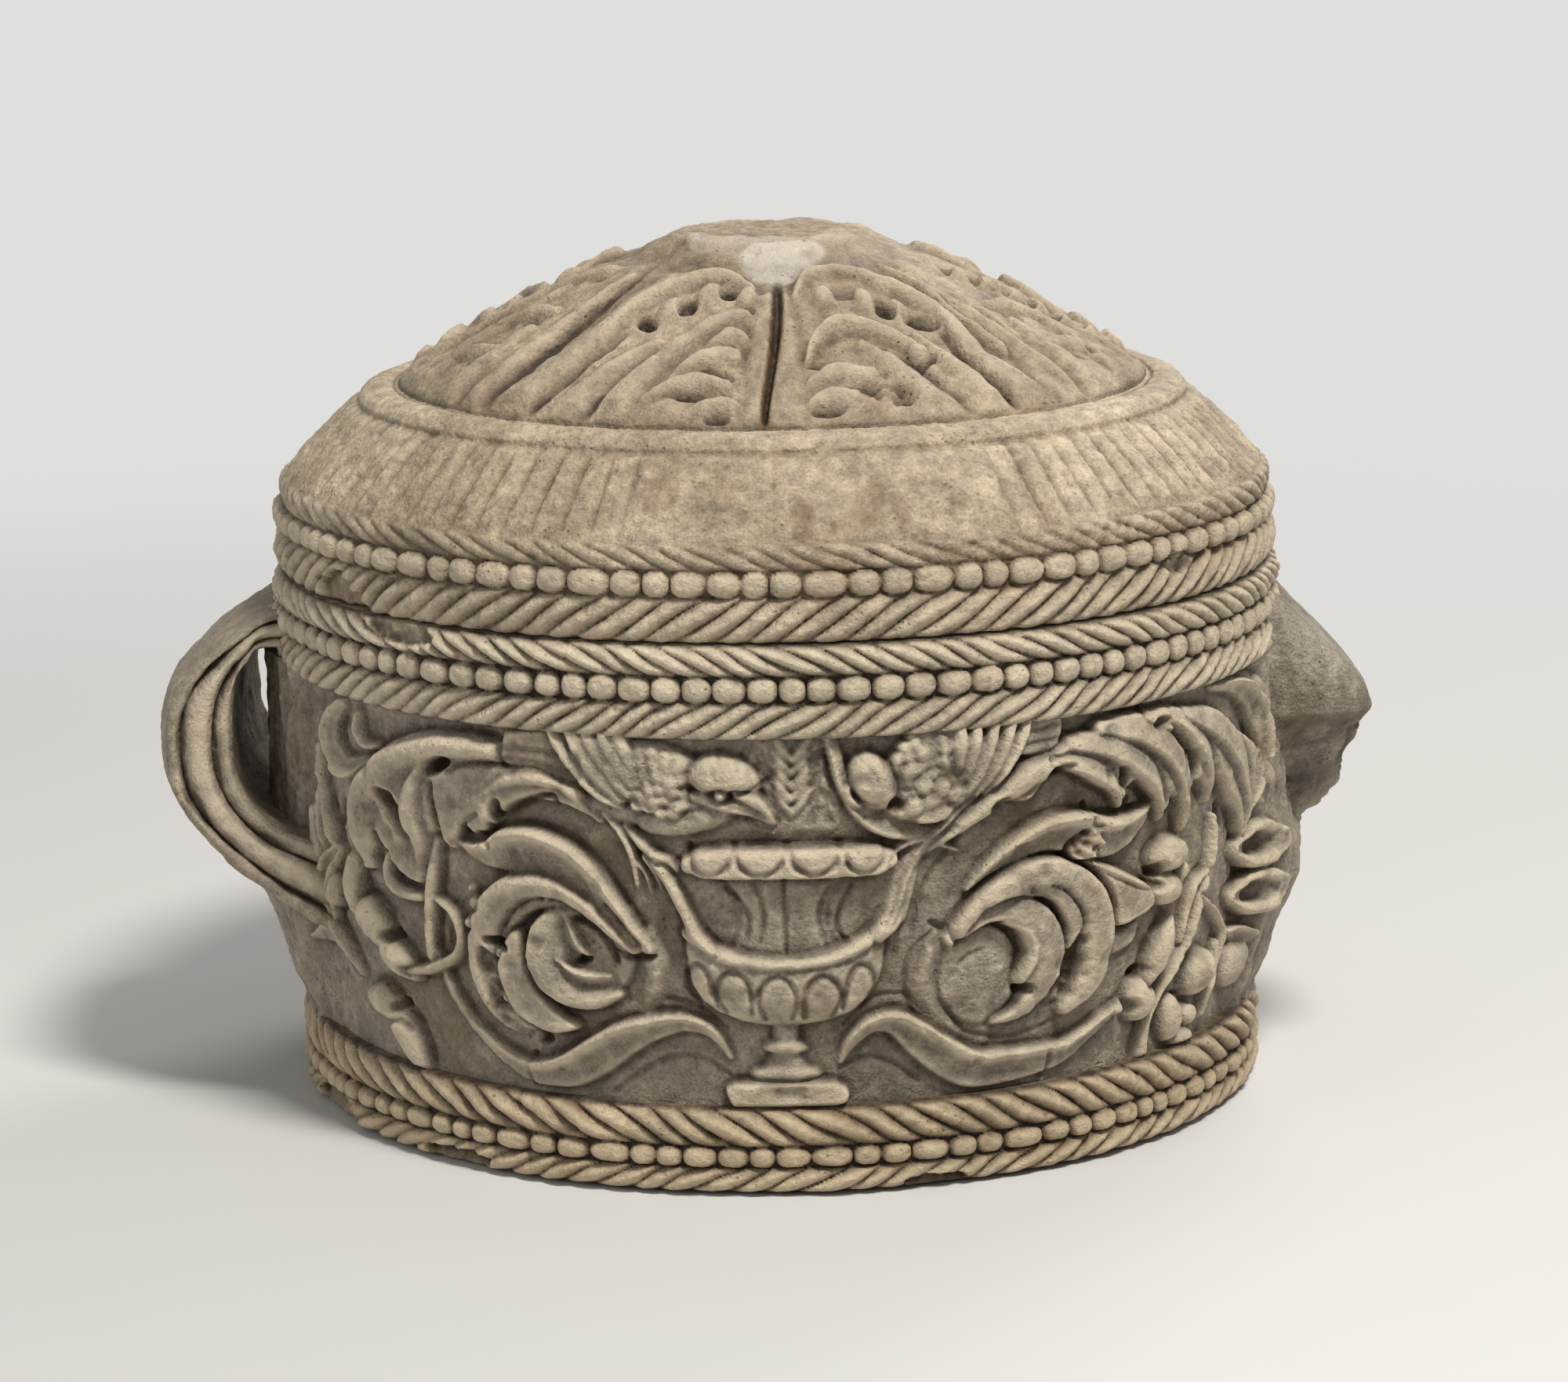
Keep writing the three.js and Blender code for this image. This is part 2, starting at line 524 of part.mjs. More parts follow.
// Below and behind each handle the ground of the wall was left proud and rough
function panelGeometry(side) {
  const panelShares = [
    [0, 0], [0.08, 0.32], [0.17, 0.5], [0.32, 1], [0.43, 1], [0.56, 0.7], [1, 0.69],
  ];
  return skinSections(panelShares.map(([heightShare, proudShare]) => lumpSection(
    side,
    THREE.MathUtils.lerp(BASE_BAND_TOP, RIM_BAND_FOOT, heightShare),
    PANEL_PROUD * proudShare,
    0,
    PANEL_HALF_WIDTH,
  )));
}

// What is left of the broken strap on the wall below the stub, towards the back
function breakGeometry() {
  const breakShares = [
    [0.12, 0.35], [0.22, 0.6], [0.32, 0.75], [0.42, 0.85], [0.5, 0.84], [0.6, 0.8], [0.7, 0.66], [0.8, 0.4],
  ];
  return skinSections(breakShares.map(([downShare, reachShare]) => lumpSection(
    1,
    HANDLE_TOP - HANDLE_HEIGHT * downShare,
    STUB_REACH * reachShare,
    HANDLE_HALF_WIDTH / 4,
    HANDLE_HALF_WIDTH / 2,
  )));
}

// Lid: shallow hollow and register below, rope-and-bead band, sloping tongues, fillet, and
// a dome of leaves up to the break where its knob was
function lidGeometry() {
  const registerInside = REGISTER_RADIUS - REGISTER_WIDTH;
  const hollowShares = [0.35, 0.65, 0.88, 1];
  const hollow = hollowShares.map((share) => (
    ring(BOWL_COLUMNS, registerInside * share, LID_FOOT + LID_HOLLOW * Math.sqrt(1 - share * share))));
  // The worn upper rope runs straight into the slope of tongues
  const lidBand = bandRings(LID_RADIUS, LID_FOOT, LID_LOWER_ROPE, LID_BEADS, LID_UPPER_ROPE);
  const tongue = (column) => [column % 2 === 0 ? 0 : -TONGUE_GROOVE, 0];
  // Relief of one leaf from the flute at its side, and of the dome from its foot to the break
  const leafShares = [-0.9, 0, 0.6, 0.9, 1, 0.9, 0.7, 0.1];
  const domeShares = [
    [1, 0, 0], [0.885, 0.17, 0.15], [0.71, 0.375, 0.4], [0.615, 0.452, 0.7], [0.5, 0.592, 1],
    [0.31, 0.796, 0.7], [0.135, 0.894, 0.1], [0, 1, 0],
  ];
  const dome = domeShares.map(([radiusShare, heightShare, reliefShare]) => ring(
    DOME_COLUMNS,
    THREE.MathUtils.lerp(BREAK_RADIUS, DOME_RADIUS, radiusShare),
    DOME_FOOT + DOME_RISE * heightShare,
    0,
    (column) => {
      const relief = LEAF_RELIEF * reliefShare * leafShares[column % LEAF_COLUMNS];
      return [relief / 2, relief];
    },
  ));
  return skinRings(
    new THREE.Vector3(0, 0, LID_FOOT + LID_HOLLOW),
    [
      ...hollow,
      ring(BOWL_COLUMNS, registerInside, LID_FOOT - REGISTER_DEPTH),
      ring(BOWL_COLUMNS, REGISTER_RADIUS, LID_FOOT - REGISTER_DEPTH),
      ring(BOWL_COLUMNS, REGISTER_RADIUS, LID_FOOT),
      ...lidBand.slice(0, -1),
      ring(STRANDS, LID_RADIUS + TONGUE_PROUD - TONGUE_RUN / 2, LID_BAND_TOP + TONGUE_RISE / 2, 0, tongue),
      ring(DOME_COLUMNS, TONGUE_TOP_RADIUS, TONGUE_TOP),
      ring(DOME_COLUMNS, TONGUE_TOP_RADIUS - FILLET_WIDTH / 3, TONGUE_TOP + FILLET_RISE),
      ...dome,
    ],
    new THREE.Vector3(0, 0, DOME_FOOT + DOME_RISE),
  );
}

function urnBodyGeometry() {
  const parts = [
    bowlGeometry(), handleGeometry(), stubGeometry(), breakGeometry(), panelGeometry(-1), panelGeometry(1),
    ...reliefGeometries(),
  ];
  return geometryOf(parts.map(solidOf).reduce((whole, part) => whole.add(part)));
}

function marble(color, roughness) {
  return new THREE.MeshStandardMaterial({ color, roughness, metalness: 0 });
}

function named(name, geometry, material) {
  const mesh = new THREE.Mesh(geometry, material);
  mesh.name = name;
  return mesh;
}

const group = new THREE.Group();
group.add(named('urn_body', urnBodyGeometry(), marble(0xb3a68f, 0.8)));
group.add(named('lid', geometryOf(solidOf(lidGeometry())), marble(0xc4b394, 0.82)));

export default group;
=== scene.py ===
import math
import bpy
import numpy as np
from mathutils import Matrix


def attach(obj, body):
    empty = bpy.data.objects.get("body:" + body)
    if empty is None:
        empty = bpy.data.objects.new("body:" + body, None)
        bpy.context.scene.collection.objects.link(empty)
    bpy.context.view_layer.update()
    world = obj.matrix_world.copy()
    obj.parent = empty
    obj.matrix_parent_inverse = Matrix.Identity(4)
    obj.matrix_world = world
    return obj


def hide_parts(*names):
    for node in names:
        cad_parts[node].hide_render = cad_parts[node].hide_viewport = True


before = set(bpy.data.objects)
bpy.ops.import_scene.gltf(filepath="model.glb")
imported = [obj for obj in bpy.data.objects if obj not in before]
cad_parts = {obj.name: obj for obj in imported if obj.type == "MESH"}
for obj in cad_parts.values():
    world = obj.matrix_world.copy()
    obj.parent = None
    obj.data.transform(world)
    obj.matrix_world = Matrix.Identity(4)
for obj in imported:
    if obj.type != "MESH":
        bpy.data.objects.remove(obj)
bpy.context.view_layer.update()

# Room: a pale floor, pale air all round and three soft lamps, with the camera where the
# photographer stood, a little above the rim. Nothing of it belongs to the urn.
bpy.ops.object.select_all(action="DESELECT")
bpy.ops.mesh.primitive_plane_add(size=14, location=(0, 0, -0.0006))
floor = bpy.context.active_object
floor.name = "studio_floor"


def shader(name):
    material = bpy.data.materials.new(name)
    material.use_nodes = True
    return material, material.node_tree, material.node_tree.nodes["Principled BSDF"]


def feed(tree, socket, value):
    """Gives a socket a plain value or a link from another node."""
    if isinstance(value, (tuple, float, int)):
        socket.default_value = value
    else:
        tree.links.new(value, socket)


def math_node(tree, kind, first, second, clamp=False):
    node = tree.nodes.new("ShaderNodeMath")
    node.operation, node.use_clamp = kind, clamp
    feed(tree, node.inputs[0], first)
    feed(tree, node.inputs[1], second)
    return node.outputs[0]


PALE_AIR = (0.74, 0.735, 0.72, 1)
floor_paint, tree, bsdf = shader("studio_paint")
feed(tree, bsdf.inputs["Roughness"], 0.9)
feed(tree, bsdf.inputs["Base Color"], (0.6, 0.59, 0.575, 1))
# far from the urn the floor melts into the pale air for whatever looks at it
reach = tree.nodes.new("ShaderNodeVectorMath")
reach.operation = "LENGTH"
feed(tree, reach.inputs[0], tree.nodes.new("ShaderNodeTexCoord").outputs["Object"])
far = tree.nodes.new("ShaderNodeMapRange")
far.interpolation_type = "SMOOTHSTEP"
for label, value in (("From Min", 0.45), ("From Max", 1.5), ("Value", reach.outputs["Value"])):
    feed(tree, far.inputs[label], value)
looks = tree.nodes.new("ShaderNodeLightPath").outputs
looked_at = math_node(tree, "MAXIMUM", looks["Is Camera Ray"], looks["Is Glossy Ray"])
melt = math_node(tree, "MULTIPLY", looked_at, far.outputs["Result"])
glow, merge = tree.nodes.new("ShaderNodeEmission"), tree.nodes.new("ShaderNodeMixShader")
feed(tree, glow.inputs["Color"], PALE_AIR)
for index, value in enumerate((melt, bsdf.outputs[0], glow.outputs[0])):
    feed(tree, merge.inputs[index], value)
feed(tree, tree.nodes["Material Output"].inputs["Surface"], merge.outputs[0])
floor.data.materials.append(floor_paint)

world = bpy.data.worlds.new("studio_air")
bpy.context.scene.world = world
world.use_nodes = True
air = world.node_tree
air.nodes.clear()
seen, lit = air.nodes.new("ShaderNodeBackground"), air.nodes.new("ShaderNodeBackground")
feed(air, seen.inputs["Color"], PALE_AIR)
feed(air, lit.inputs["Color"], (1.0, 0.985, 0.96, 1))
feed(air, lit.inputs["Strength"], 0.26)
ray = air.nodes.new("ShaderNodeLightPath").outputs
direct = math_node(air, "MAXIMUM", ray["Is Camera Ray"], ray["Is Glossy Ray"])
either = math_node(air, "MAXIMUM", direct, ray["Is Transmission Ray"])
blend = air.nodes.new("ShaderNodeMixShader")
for index, value in enumerate((either, lit.outputs[0], seen.outputs[0])):
    feed(air, blend.inputs[index], value)
feed(air, air.nodes.new("ShaderNodeOutputWorld").inputs["Surface"], blend.outputs[0])


def lamp(name, place, target, size, power, color):
    data = bpy.data.lights.new(name, "AREA")
    data.shape = "DISK"
    data.size = size
    data.energy = power
    data.color = color
    item = bpy.data.objects.new(name, data)
    bpy.context.scene.collection.objects.link(item)
    item.location = place
    away = np.array(target, float) - np.array(place, float)
    item.rotation_euler = (math.atan2(math.hypot(away[0], away[1]), -away[2]), 0,
                           math.atan2(away[1], away[0]) - math.pi / 2)


lamp("key_lamp", (0.55, -0.95, 1.95), (0, 0, 0.15), 0.5, 46, (1, 0.975, 0.94))
lamp("fill_lamp", (-1.9, -1.3, 0.9), (0, 0, 0.15), 1.2, 9, (0.96, 0.975, 1))
lamp("rear_lamp", (0.9, 1.7, 1.5), (0, 0, 0.2), 1.0, 20, (1, 0.985, 0.96))

CAMERA_TILT, CAMERA_ROLL = math.radians(11.70), math.radians(0.814)
CAMERA_DISTANCE = 1.75
CAMERA_AIM = np.array([0.0025, 0, 0.1339])
forward = np.array([0, math.cos(CAMERA_TILT), -math.sin(CAMERA_TILT)])
upward = np.array([0, math.sin(CAMERA_TILT), math.cos(CAMERA_TILT)])
sideways = np.array([1.0, 0, 0])
camera_data = bpy.data.cameras.new("camera")
camera_data.lens, camera_data.sensor_width = 112.8, 36
camera_data.clip_start, camera_data.clip_end = 0.05, 60
camera = bpy.data.objects.new("camera", camera_data)
bpy.context.scene.collection.objects.link(camera)
bpy.context.scene.camera = camera
axis_x = sideways * math.cos(CAMERA_ROLL) - upward * math.sin(CAMERA_ROLL)
axis_y = sideways * math.sin(CAMERA_ROLL) + upward * math.cos(CAMERA_ROLL)
turn = np.eye(4)
turn[:3, 0], turn[:3, 1], turn[:3, 2] = axis_x, axis_y, -forward
turn[:3, 3] = CAMERA_AIM - forward * CAMERA_DISTANCE
camera.matrix_world = Matrix(turn.tolist())
bpy.context.scene.view_settings.view_transform = "Standard"


# Marble: one fine-grained, weathered stone for the whole urn. Its groups give the grain, the soil that stays in
# hollows together with painted shade there, the paler worn crests and rusty stains; each finish sets its own.
def paint(red, green, blue):
    """A colour written as it looks on a screen, 0 to 255, as the values that a shader takes."""
    return tuple(((part / 255 + 0.055) / 1.055) ** 2.4 for part in (red, green, blue)) + (1,)


def group_of(name, sockets_in, sockets_out):
    group = bpy.data.node_groups.new(name, "ShaderNodeTree")
    for label, kind in sockets_in:
        group.interface.new_socket(label, in_out="INPUT", socket_type=kind)
    for label, kind in sockets_out:
        group.interface.new_socket(label, in_out="OUTPUT", socket_type=kind)
    return group, group.nodes.new("NodeGroupInput").outputs, group.nodes.new("NodeGroupOutput").inputs


def noise_node(tree, place, scale, detail=3.0, rough=0.5):
    node = tree.nodes.new("ShaderNodeTexNoise")
    for label, value in (("Scale", scale), ("Detail", detail), ("Roughness", rough), ("Vector", place)):
        feed(tree, node.inputs[label], value)
    return node.outputs["Fac"]


def spread(tree, value, low, high, to_low=0.0, to_high=1.0):
    node = tree.nodes.new("ShaderNodeMapRange")
    for label, setting in (("From Min", low), ("From Max", high), ("To Min", to_low), ("To Max", to_high),
                           ("Value", value)):
        feed(tree, node.inputs[label], setting)
    return node.outputs["Result"]


def mixed(tree, amount, first, second, kind="MIX"):
    node = tree.nodes.new("ShaderNodeMix")
    node.data_type, node.blend_type = "RGBA", kind
    for index, value in ((0, amount), (6, first), (7, second)):
        feed(tree, node.inputs[index], value)
    return node.outputs[2]


VECTOR, VALUE, COLOR = "NodeSocketVector", "NodeSocketFloat", "NodeSocketColor"

# crystals and clouds of the stone, and the height that they give its skin
grain, takes, gives = group_of(
    "marble_grain", [("Place", VECTOR)],
    [("Cloud", VALUE), ("Mottle", VALUE), ("Speckle", VALUE), ("Pits", VALUE), ("Height", VALUE)])
place = takes["Place"]
middling = noise_node(grain, place, 190, 4, 0.6)
crystal = noise_node(grain, place, 950, 3, 0.65)
cells = grain.nodes.new("ShaderNodeTexVoronoi")
feed(grain, cells.inputs["Scale"], 330)
feed(grain, cells.inputs["Vector"], place)
pitted = math_node(grain, "MULTIPLY", spread(grain, cells.outputs["Distance"], 0.22, 0.05),
                   spread(grain, noise_node(grain, place, 60, 3), 0.52, 0.66))
roughened = math_node(grain, "ADD", math_node(grain, "MULTIPLY", crystal, 0.35),
                      math_node(grain, "MULTIPLY", noise_node(grain, place, 420, 4, 0.65), 0.6))
roughened = math_node(grain, "ADD", roughened, middling)
feed(grain, gives["Cloud"], noise_node(grain, place, 16, 5, 0.6))
feed(grain, gives["Mottle"], noise_node(grain, place, 70, 6, 0.72))
feed(grain, gives["Speckle"], math_node(grain, "ADD", math_node(grain, "MULTIPLY", middling, 0.5),
                                        math_node(grain, "MULTIPLY", crystal, 0.5)))
feed(grain, gives["Pits"], pitted)
feed(grain, gives["Height"], math_node(grain, "SUBTRACT", roughened, math_node(grain, "MULTIPLY", pitted, 0.9)))

# soil in the hollows together with painted shade there, and pale wear on the crests, from the shape that was carved;
# the Soil colour and amount paint both the soil and the shade
soil_and_shade, takes, gives = group_of(
    "soil_shade_and_wear",
    [("Color", COLOR), ("Place", VECTOR), ("Recess", VALUE), ("Crest", VALUE), ("Soil", COLOR),
     ("Worn", COLOR), ("Soil amount", VALUE), ("Worn amount", VALUE)], [("Color", COLOR)])
broken = spread(soil_and_shade, noise_node(soil_and_shade, takes["Place"], 120, 5, 0.7), 0.3, 0.7, 0.55, 1.25)
soiled_and_shaded, worn = (
    math_node(soil_and_shade, "MULTIPLY", math_node(soil_and_shade, "MULTIPLY", takes[mark], broken), takes[amount], clamp=True)
    for mark, amount in (("Recess", "Soil amount"), ("Crest", "Worn amount")))
feed(soil_and_shade, gives["Color"], mixed(soil_and_shade, soiled_and_shaded, mixed(soil_and_shade, worn, takes["Color"], takes["Worn"]), takes["Soil"]))

# stains that have soaked in, in cloudy patches
stain, takes, gives = group_of(
    "stain", [("Color", COLOR), ("Place", VECTOR), ("Stain", COLOR), ("Scale", VALUE),
              ("From", VALUE), ("Amount", VALUE)], [("Color", COLOR)])
patches = noise_node(stain, takes["Place"], takes["Scale"], 6, 0.68)
over = math_node(stain, "MULTIPLY", math_node(stain, "SUBTRACT", patches, takes["From"]), 9, clamp=True)
feed(stain, gives["Color"], mixed(stain, math_node(stain, "MULTIPLY", over, takes["Amount"]),
                                  takes["Color"], takes["Stain"]))

RUST, FRESH_BREAK = paint(96, 66, 44), paint(204, 194, 180)
STAIN_SCALE, GRAIN_DEPTH = 28.0, 0.003


def marble(name, pale, dark, soil_and_shade_color, worn_color, soil_and_shade_amount, worn_amount,
           stain_color, stain_from, stain_amount=0.5, bump=0.6, rough=0.62):
    """One finish of the marble. Its colours are written as they look on a screen."""
    pale, dark, soil_and_shade_color, worn_color, stain_color = (
        paint(*color) for color in (pale, dark, soil_and_shade_color, worn_color, stain_color))
    material, tree, bsdf = shader(name)
    place = tree.nodes.new("ShaderNodeTexCoord").outputs["Object"]

    def grouped(group, **values):
        node = tree.nodes.new("ShaderNodeGroup")
        node.node_tree = group
        for label, value in values.items():
            feed(tree, node.inputs[label.replace("_", " ")], value)
        return node.outputs

    def carved(mark):
        node = tree.nodes.new("ShaderNodeAttribute")
        node.attribute_name = mark
        return node.outputs["Fac"]

    stone = grouped(grain, Place=place)
    color = mixed(tree, spread(tree, stone["Cloud"], 0.35, 0.65), pale, dark)
    color = mixed(tree, 1.0, color, spread(tree, stone["Mottle"], 0.36, 0.64, 0.72, 1.22), "MULTIPLY")
    color = mixed(tree, 1.0, color, spread(tree, stone["Speckle"], 0.34, 0.66, 0.52, 1.36), "MULTIPLY")
    color = grouped(stain, Color=color, Place=place, Stain=stain_color, Scale=STAIN_SCALE,
                    From=stain_from, Amount=stain_amount)["Color"]
    color = mixed(tree, carved("rust"), color, RUST)
    color = mixed(tree, carved("fresh"), color, FRESH_BREAK)
    # recess mixes in the soil colour, which paints both soil and shade in the hollows; crest mixes in pale wear
    color = grouped(soil_and_shade, Color=color, Place=place, Recess=carved("recess"), Crest=carved("crest"),
                    Soil=soil_and_shade_color, Worn=worn_color, Soil_amount=soil_and_shade_amount, Worn_amount=worn_amount)["Color"]
    color = mixed(tree, math_node(tree, "MULTIPLY", stone["Pits"], 0.45), color, soil_and_shade_color)
    feed(tree, bsdf.inputs["Base Color"], color)
    feed(tree, bsdf.inputs["Roughness"], spread(tree, stone["Speckle"], 0.3, 0.7, rough - 0.07, rough + 0.1))
    feed(tree, bsdf.inputs["Specular IOR Level"], 0.35)
    skin = tree.nodes.new("ShaderNodeBump")
    for label, value in (("Strength", bump), ("Distance", GRAIN_DEPTH), ("Height", stone["Height"])):
        feed(tree, skin.inputs[label], value)
    feed(tree, bsdf.inputs["Normal"], skin.outputs["Normal"])
    return material


# Wall of the bowl: the drum between the two bands, one block of marble, carved all round. It is
# made as a field of depths over the places on the wall, which chisels, rasps and drills change.
MM = 0.001
WALL_RADIUS, WALL_TAPER = 170.0, 6.0
WALL_FOOT, WALL_TOP = 27.4, 156.0
WALL_BACK = 157.0
WALL_MARGIN = 12
# edges that turn more than this stay sharp
SHARP_EDGE = math.radians(72)
HALF_ROUND = math.pi * WALL_RADIUS
CELL = 0.5
COARSE = 1.0
wall_marble = marble("wall_marble", (162, 151, 134), (128, 118, 103), (64, 50, 36), (208, 193, 167),
                     1.05, 0.8, (112, 86, 58), 0.55, stain_amount=0.55)


def cloudy(points, size, seed):
    """Smooth noise from -1 to 1 at points in millimetres, with features of that size."""
    table = np.random.default_rng(seed).random(4096) * 2 - 1
    grid = points / size
    cell = np.floor(grid).astype(np.int64)
    part = grid - cell
    part = part * part * (3 - 2 * part)
    total = 0
    for corner in range(8):
        step = np.array([corner & 1, corner >> 1 & 1, corner >> 2])
        key = ((cell + step) * np.array([73856093, 19349663, 83492791])).sum(-1) & 4095
        total = total + table[key] * np.where(step, part, 1 - part).prod(-1)
    return total


def softened(field, steps, ring=False):
    """The field blurred over that many cells each way."""
    count = max(1, int(math.ceil(steps * 2.5)))
    weights = np.exp(-0.5 * (np.arange(-count, count + 1) / steps) ** 2)
    weights /= weights.sum()
    for axis in (0, 1):
        pads = [(0, 0), (0, 0)]
        pads[axis] = (count, count)
        wide = np.pad(field, pads, mode="wrap" if ring and axis == 1 else "edge")
        length = field.shape[axis]
        field = sum(weight * np.take(wide, range(n, n + length), axis)
                    for n, weight in enumerate(weights))
    return field


# sections of leaves, stems and feathers: place across and share of the rise
ROLL = ((-1, 0), (-0.85, 0.55), (-0.5, 0.9), (0, 1), (0.5, 0.9), (0.85, 0.55), (1, 0))
FLAT = ((-1, 0), (-0.86, 0.86), (-0.6, 0.97), (0, 1), (0.6, 0.97), (0.86, 0.86), (1, 0))
GUTTER = ((-1, 0), (-0.9, 0.8), (-0.72, 0.95), (-0.3, 0.55), (0.3, 0.55), (0.72, 0.95), (0.9, 0.8), (1, 0))
LIP = ((-1, 0), (-0.9, 0.42), (-0.3, 0.5), (0.2, 0.66), (0.6, 0.92), (0.8, 1), (0.93, 0.85), (1, 0))
RIDGE = ((-1, 0), (-0.45, 0.5), (0, 1), (0.45, 0.5), (1, 0))
MOUND = ((-1, 0), (-0.6, 0.5), (0, 1), (0.6, 0.5), (1, 0))
SHELL = ((-1, 0), (-0.94, 0.76), (-0.74, 1), (-0.2, 0.92), (0.4, 0.74), (1, 0.5))
FEATHER = ((-1, 0), (-0.94, 0.7), (-0.7, 0.96), (-0.2, 1), (0.4, 0.9), (1, 0.76))
LIP_RIGHT, FEATHER_RIGHT = (tuple((-side, rise) for side, rise in reversed(form)) for form in (LIP, FEATHER))
PATH_STEP = 2.2


def with_ends(points):
    return np.vstack([2 * points[0] - points[1], points, 2 * points[-1] - points[-2]])


def smooth_curve(before, here, there, after, t):
    """Points on a smooth curve between two of its stations, with their neighbours."""
    return 0.5 * (2 * here + (there - before) * t + (2 * before - 5 * here + 4 * there - after) * t ** 2
                  + (3 * here - before - 3 * there + after) * t ** 3)


class Carving:
    """A field of depths in millimetres over places that lie flat on the stone's face."""

    def __init__(self, along, up):
        self.shape = along.shape
        self.along, self.up = along.ravel(), up.ravel()
        self.depth = np.zeros(along.size)
        self.rust, self.fresh = np.zeros(along.size), np.zeros(along.size)

    def curve(self, stations):
        points = np.array(stations, float)
        ends = with_ends(points)
        run = []
        for before, here, there, after in zip(ends, ends[1:], ends[2:], ends[3:]):
            count = max(2, int(math.hypot(*(there - here)[:2]) / PATH_STEP))
            run.append(smooth_curve(before, here, there, after, np.arange(count)[:, None] / count))
        run.append(points[-1:])
        return np.vstack(run)

    def beside(self, path, reach):
        """Cells near a path: which they are, how far off its left side, and at which station."""
        low, high = path[:, :2].min(0) - reach, path[:, :2].max(0) + reach
        spot = np.flatnonzero((self.along > low[0]) & (self.along < high[0])
                              & (self.up > low[1]) & (self.up < high[1]))
        x, y = self.along[spot], self.up[spot]
        gap, side, station = np.full(x.size, 1e9), np.ones(x.size), np.zeros(x.size)
        for n, (here, there) in enumerate(zip(path[:-1, :2], path[1:, :2])):
            dx, dy = there - here
            t = np.clip(((x - here[0]) * dx + (y - here[1]) * dy) / max(dx * dx + dy * dy, 1e-9), 0, 1)
            ex, ey = x - here[0] - t * dx, y - here[1] - t * dy
            far = ex * ex + ey * ey
            closer = far < gap
            gap = np.where(closer, far, gap)
            side = np.where(closer, np.where(dx * ey - dy * ex > 0, 1, -1), side)
            station = np.where(closer, n + t, station)
        return spot, side * np.sqrt(gap), station

    def band(self, stations, profile=ROLL, keep=0.35, moat=0.7):
        """A leaf, stem or fold along stations of place, half width and rise."""
        path = self.curve(stations)
        spot, off, station = self.beside(path, path[:, 2].max() + 3)
        steps = np.arange(len(path))
        width = np.maximum(np.interp(station, steps, path[:, 2]), 0.3)
        rise = np.interp(station, steps, path[:, 3])
        side = off / width
        shape = np.interp(side, *zip(*profile))
        here = self.depth[spot]
        trench = here - self.moat(here, moat, (np.abs(off) - width) / 2.4)
        self.depth[spot] = np.where(np.abs(side) < 1, np.maximum(rise * shape, here * keep), trench)

    def bands(self, runs, *shaping, **settings):
        for run in runs:
            self.band(run, *shaping, **settings)

    def moat(self, here, deep, far):
        """The narrow trench that the chisel leaves round a form, where it isn't deep already."""
        return deep * np.clip(1 - far, 0, 1) * np.clip((here + 2.2) / 1.6, 0, 1)

    def cut(self, stations, deep=0.8):
        """A line cut along stations of place and half width."""
        path = self.curve([(*station, 1.0)[:3] for station in stations])
        path[:, 2] = np.maximum(path[:, 2] * 1.25, 0.95)
        spot, off, station = self.beside(path, path[:, 2].max() + 1)
        width = np.interp(station, np.arange(len(path)), path[:, 2])
        here = self.depth[spot]
        lower = here - 1.35 * deep * np.clip(1 - np.abs(off) / width, 0, 1) ** 0.7
        self.depth[spot] = np.maximum(lower, np.minimum(here, -2.2)) if deep < 4 else lower

    def cuts(self, lines, deep):
        for line in lines:
            self.cut(line, deep)

    def plate(self, outline, rise, bevel=1.6, swell=0.0, keep=0.3, moat=0.7):
        """A flat form with a bevelled edge, inside an outline of places."""
        path = self.curve([(*point, 0, 0) for point in [*outline, outline[0]]])
        spot, off, _ = self.beside(path, 4)
        x, y = self.along[spot], self.up[spot]
        inside = np.zeros(x.size, bool)
        for (x0, y0), (x1, y1) in zip(path[:-1, :2], path[1:, :2]):
            if y0 != y1:
                inside ^= ((y0 > y) != (y1 > y)) & (x < (x1 - x0) * (y - y0) / (y1 - y0) + x0)
        far = np.abs(off)
        edge = np.clip(far / bevel, 0, 1)
        form = rise * edge * (2 - edge) + swell * np.sqrt(np.clip(far / (4 * bevel), 0, 1))
        here = self.depth[spot]
        trench = here - self.moat(here, moat, far / 2.4)
        self.depth[spot] = np.where(inside, np.maximum(form, here * keep), trench)

    def oval(self, x, y, long, wide, tilt, grow=1.0):
        reach = max(long, wide) * grow
        spot = np.flatnonzero((np.abs(self.along - x) < reach) & (np.abs(self.up - y) < reach))
        dx, dy = self.along[spot] - x, self.up[spot] - y
        c, s = math.cos(math.radians(tilt)), math.sin(math.radians(tilt))
        return spot, ((dx * c + dy * s) / long) ** 2 + ((dy * c - dx * s) / wide) ** 2

    def boss(self, x, y, long, wide, rise, tilt=0, base=0.0, full=0.5, keep=0.5, moat=0.6):
        """A berry, head or body: a rounded form that stands out of the stone."""
        spot, far = self.oval(x, y, long, wide, tilt, 1.6)
        here = self.depth[spot]
        form = base + rise * np.clip(1 - far, 0, 1) ** full
        trench = here - self.moat(here, moat, (np.sqrt(far) - 1) * min(long, wide) / 2)
        self.depth[spot] = np.where(far < 1, np.maximum(form, here * keep), trench)

    def drill(self, x, y, long, wide, deep, tilt=0):
        """A hole sunk with the running drill."""
        spot, far = self.oval(x, y, long, wide, tilt, 1.3)
        self.depth[spot] -= deep * np.clip(1.25 - far, 0, 1) ** 0.6

    def drills(self, holes, deep):
        for x, y, long, wide, *tilt in holes:
            self.drill(x, y, long, wide, deep, *tilt)

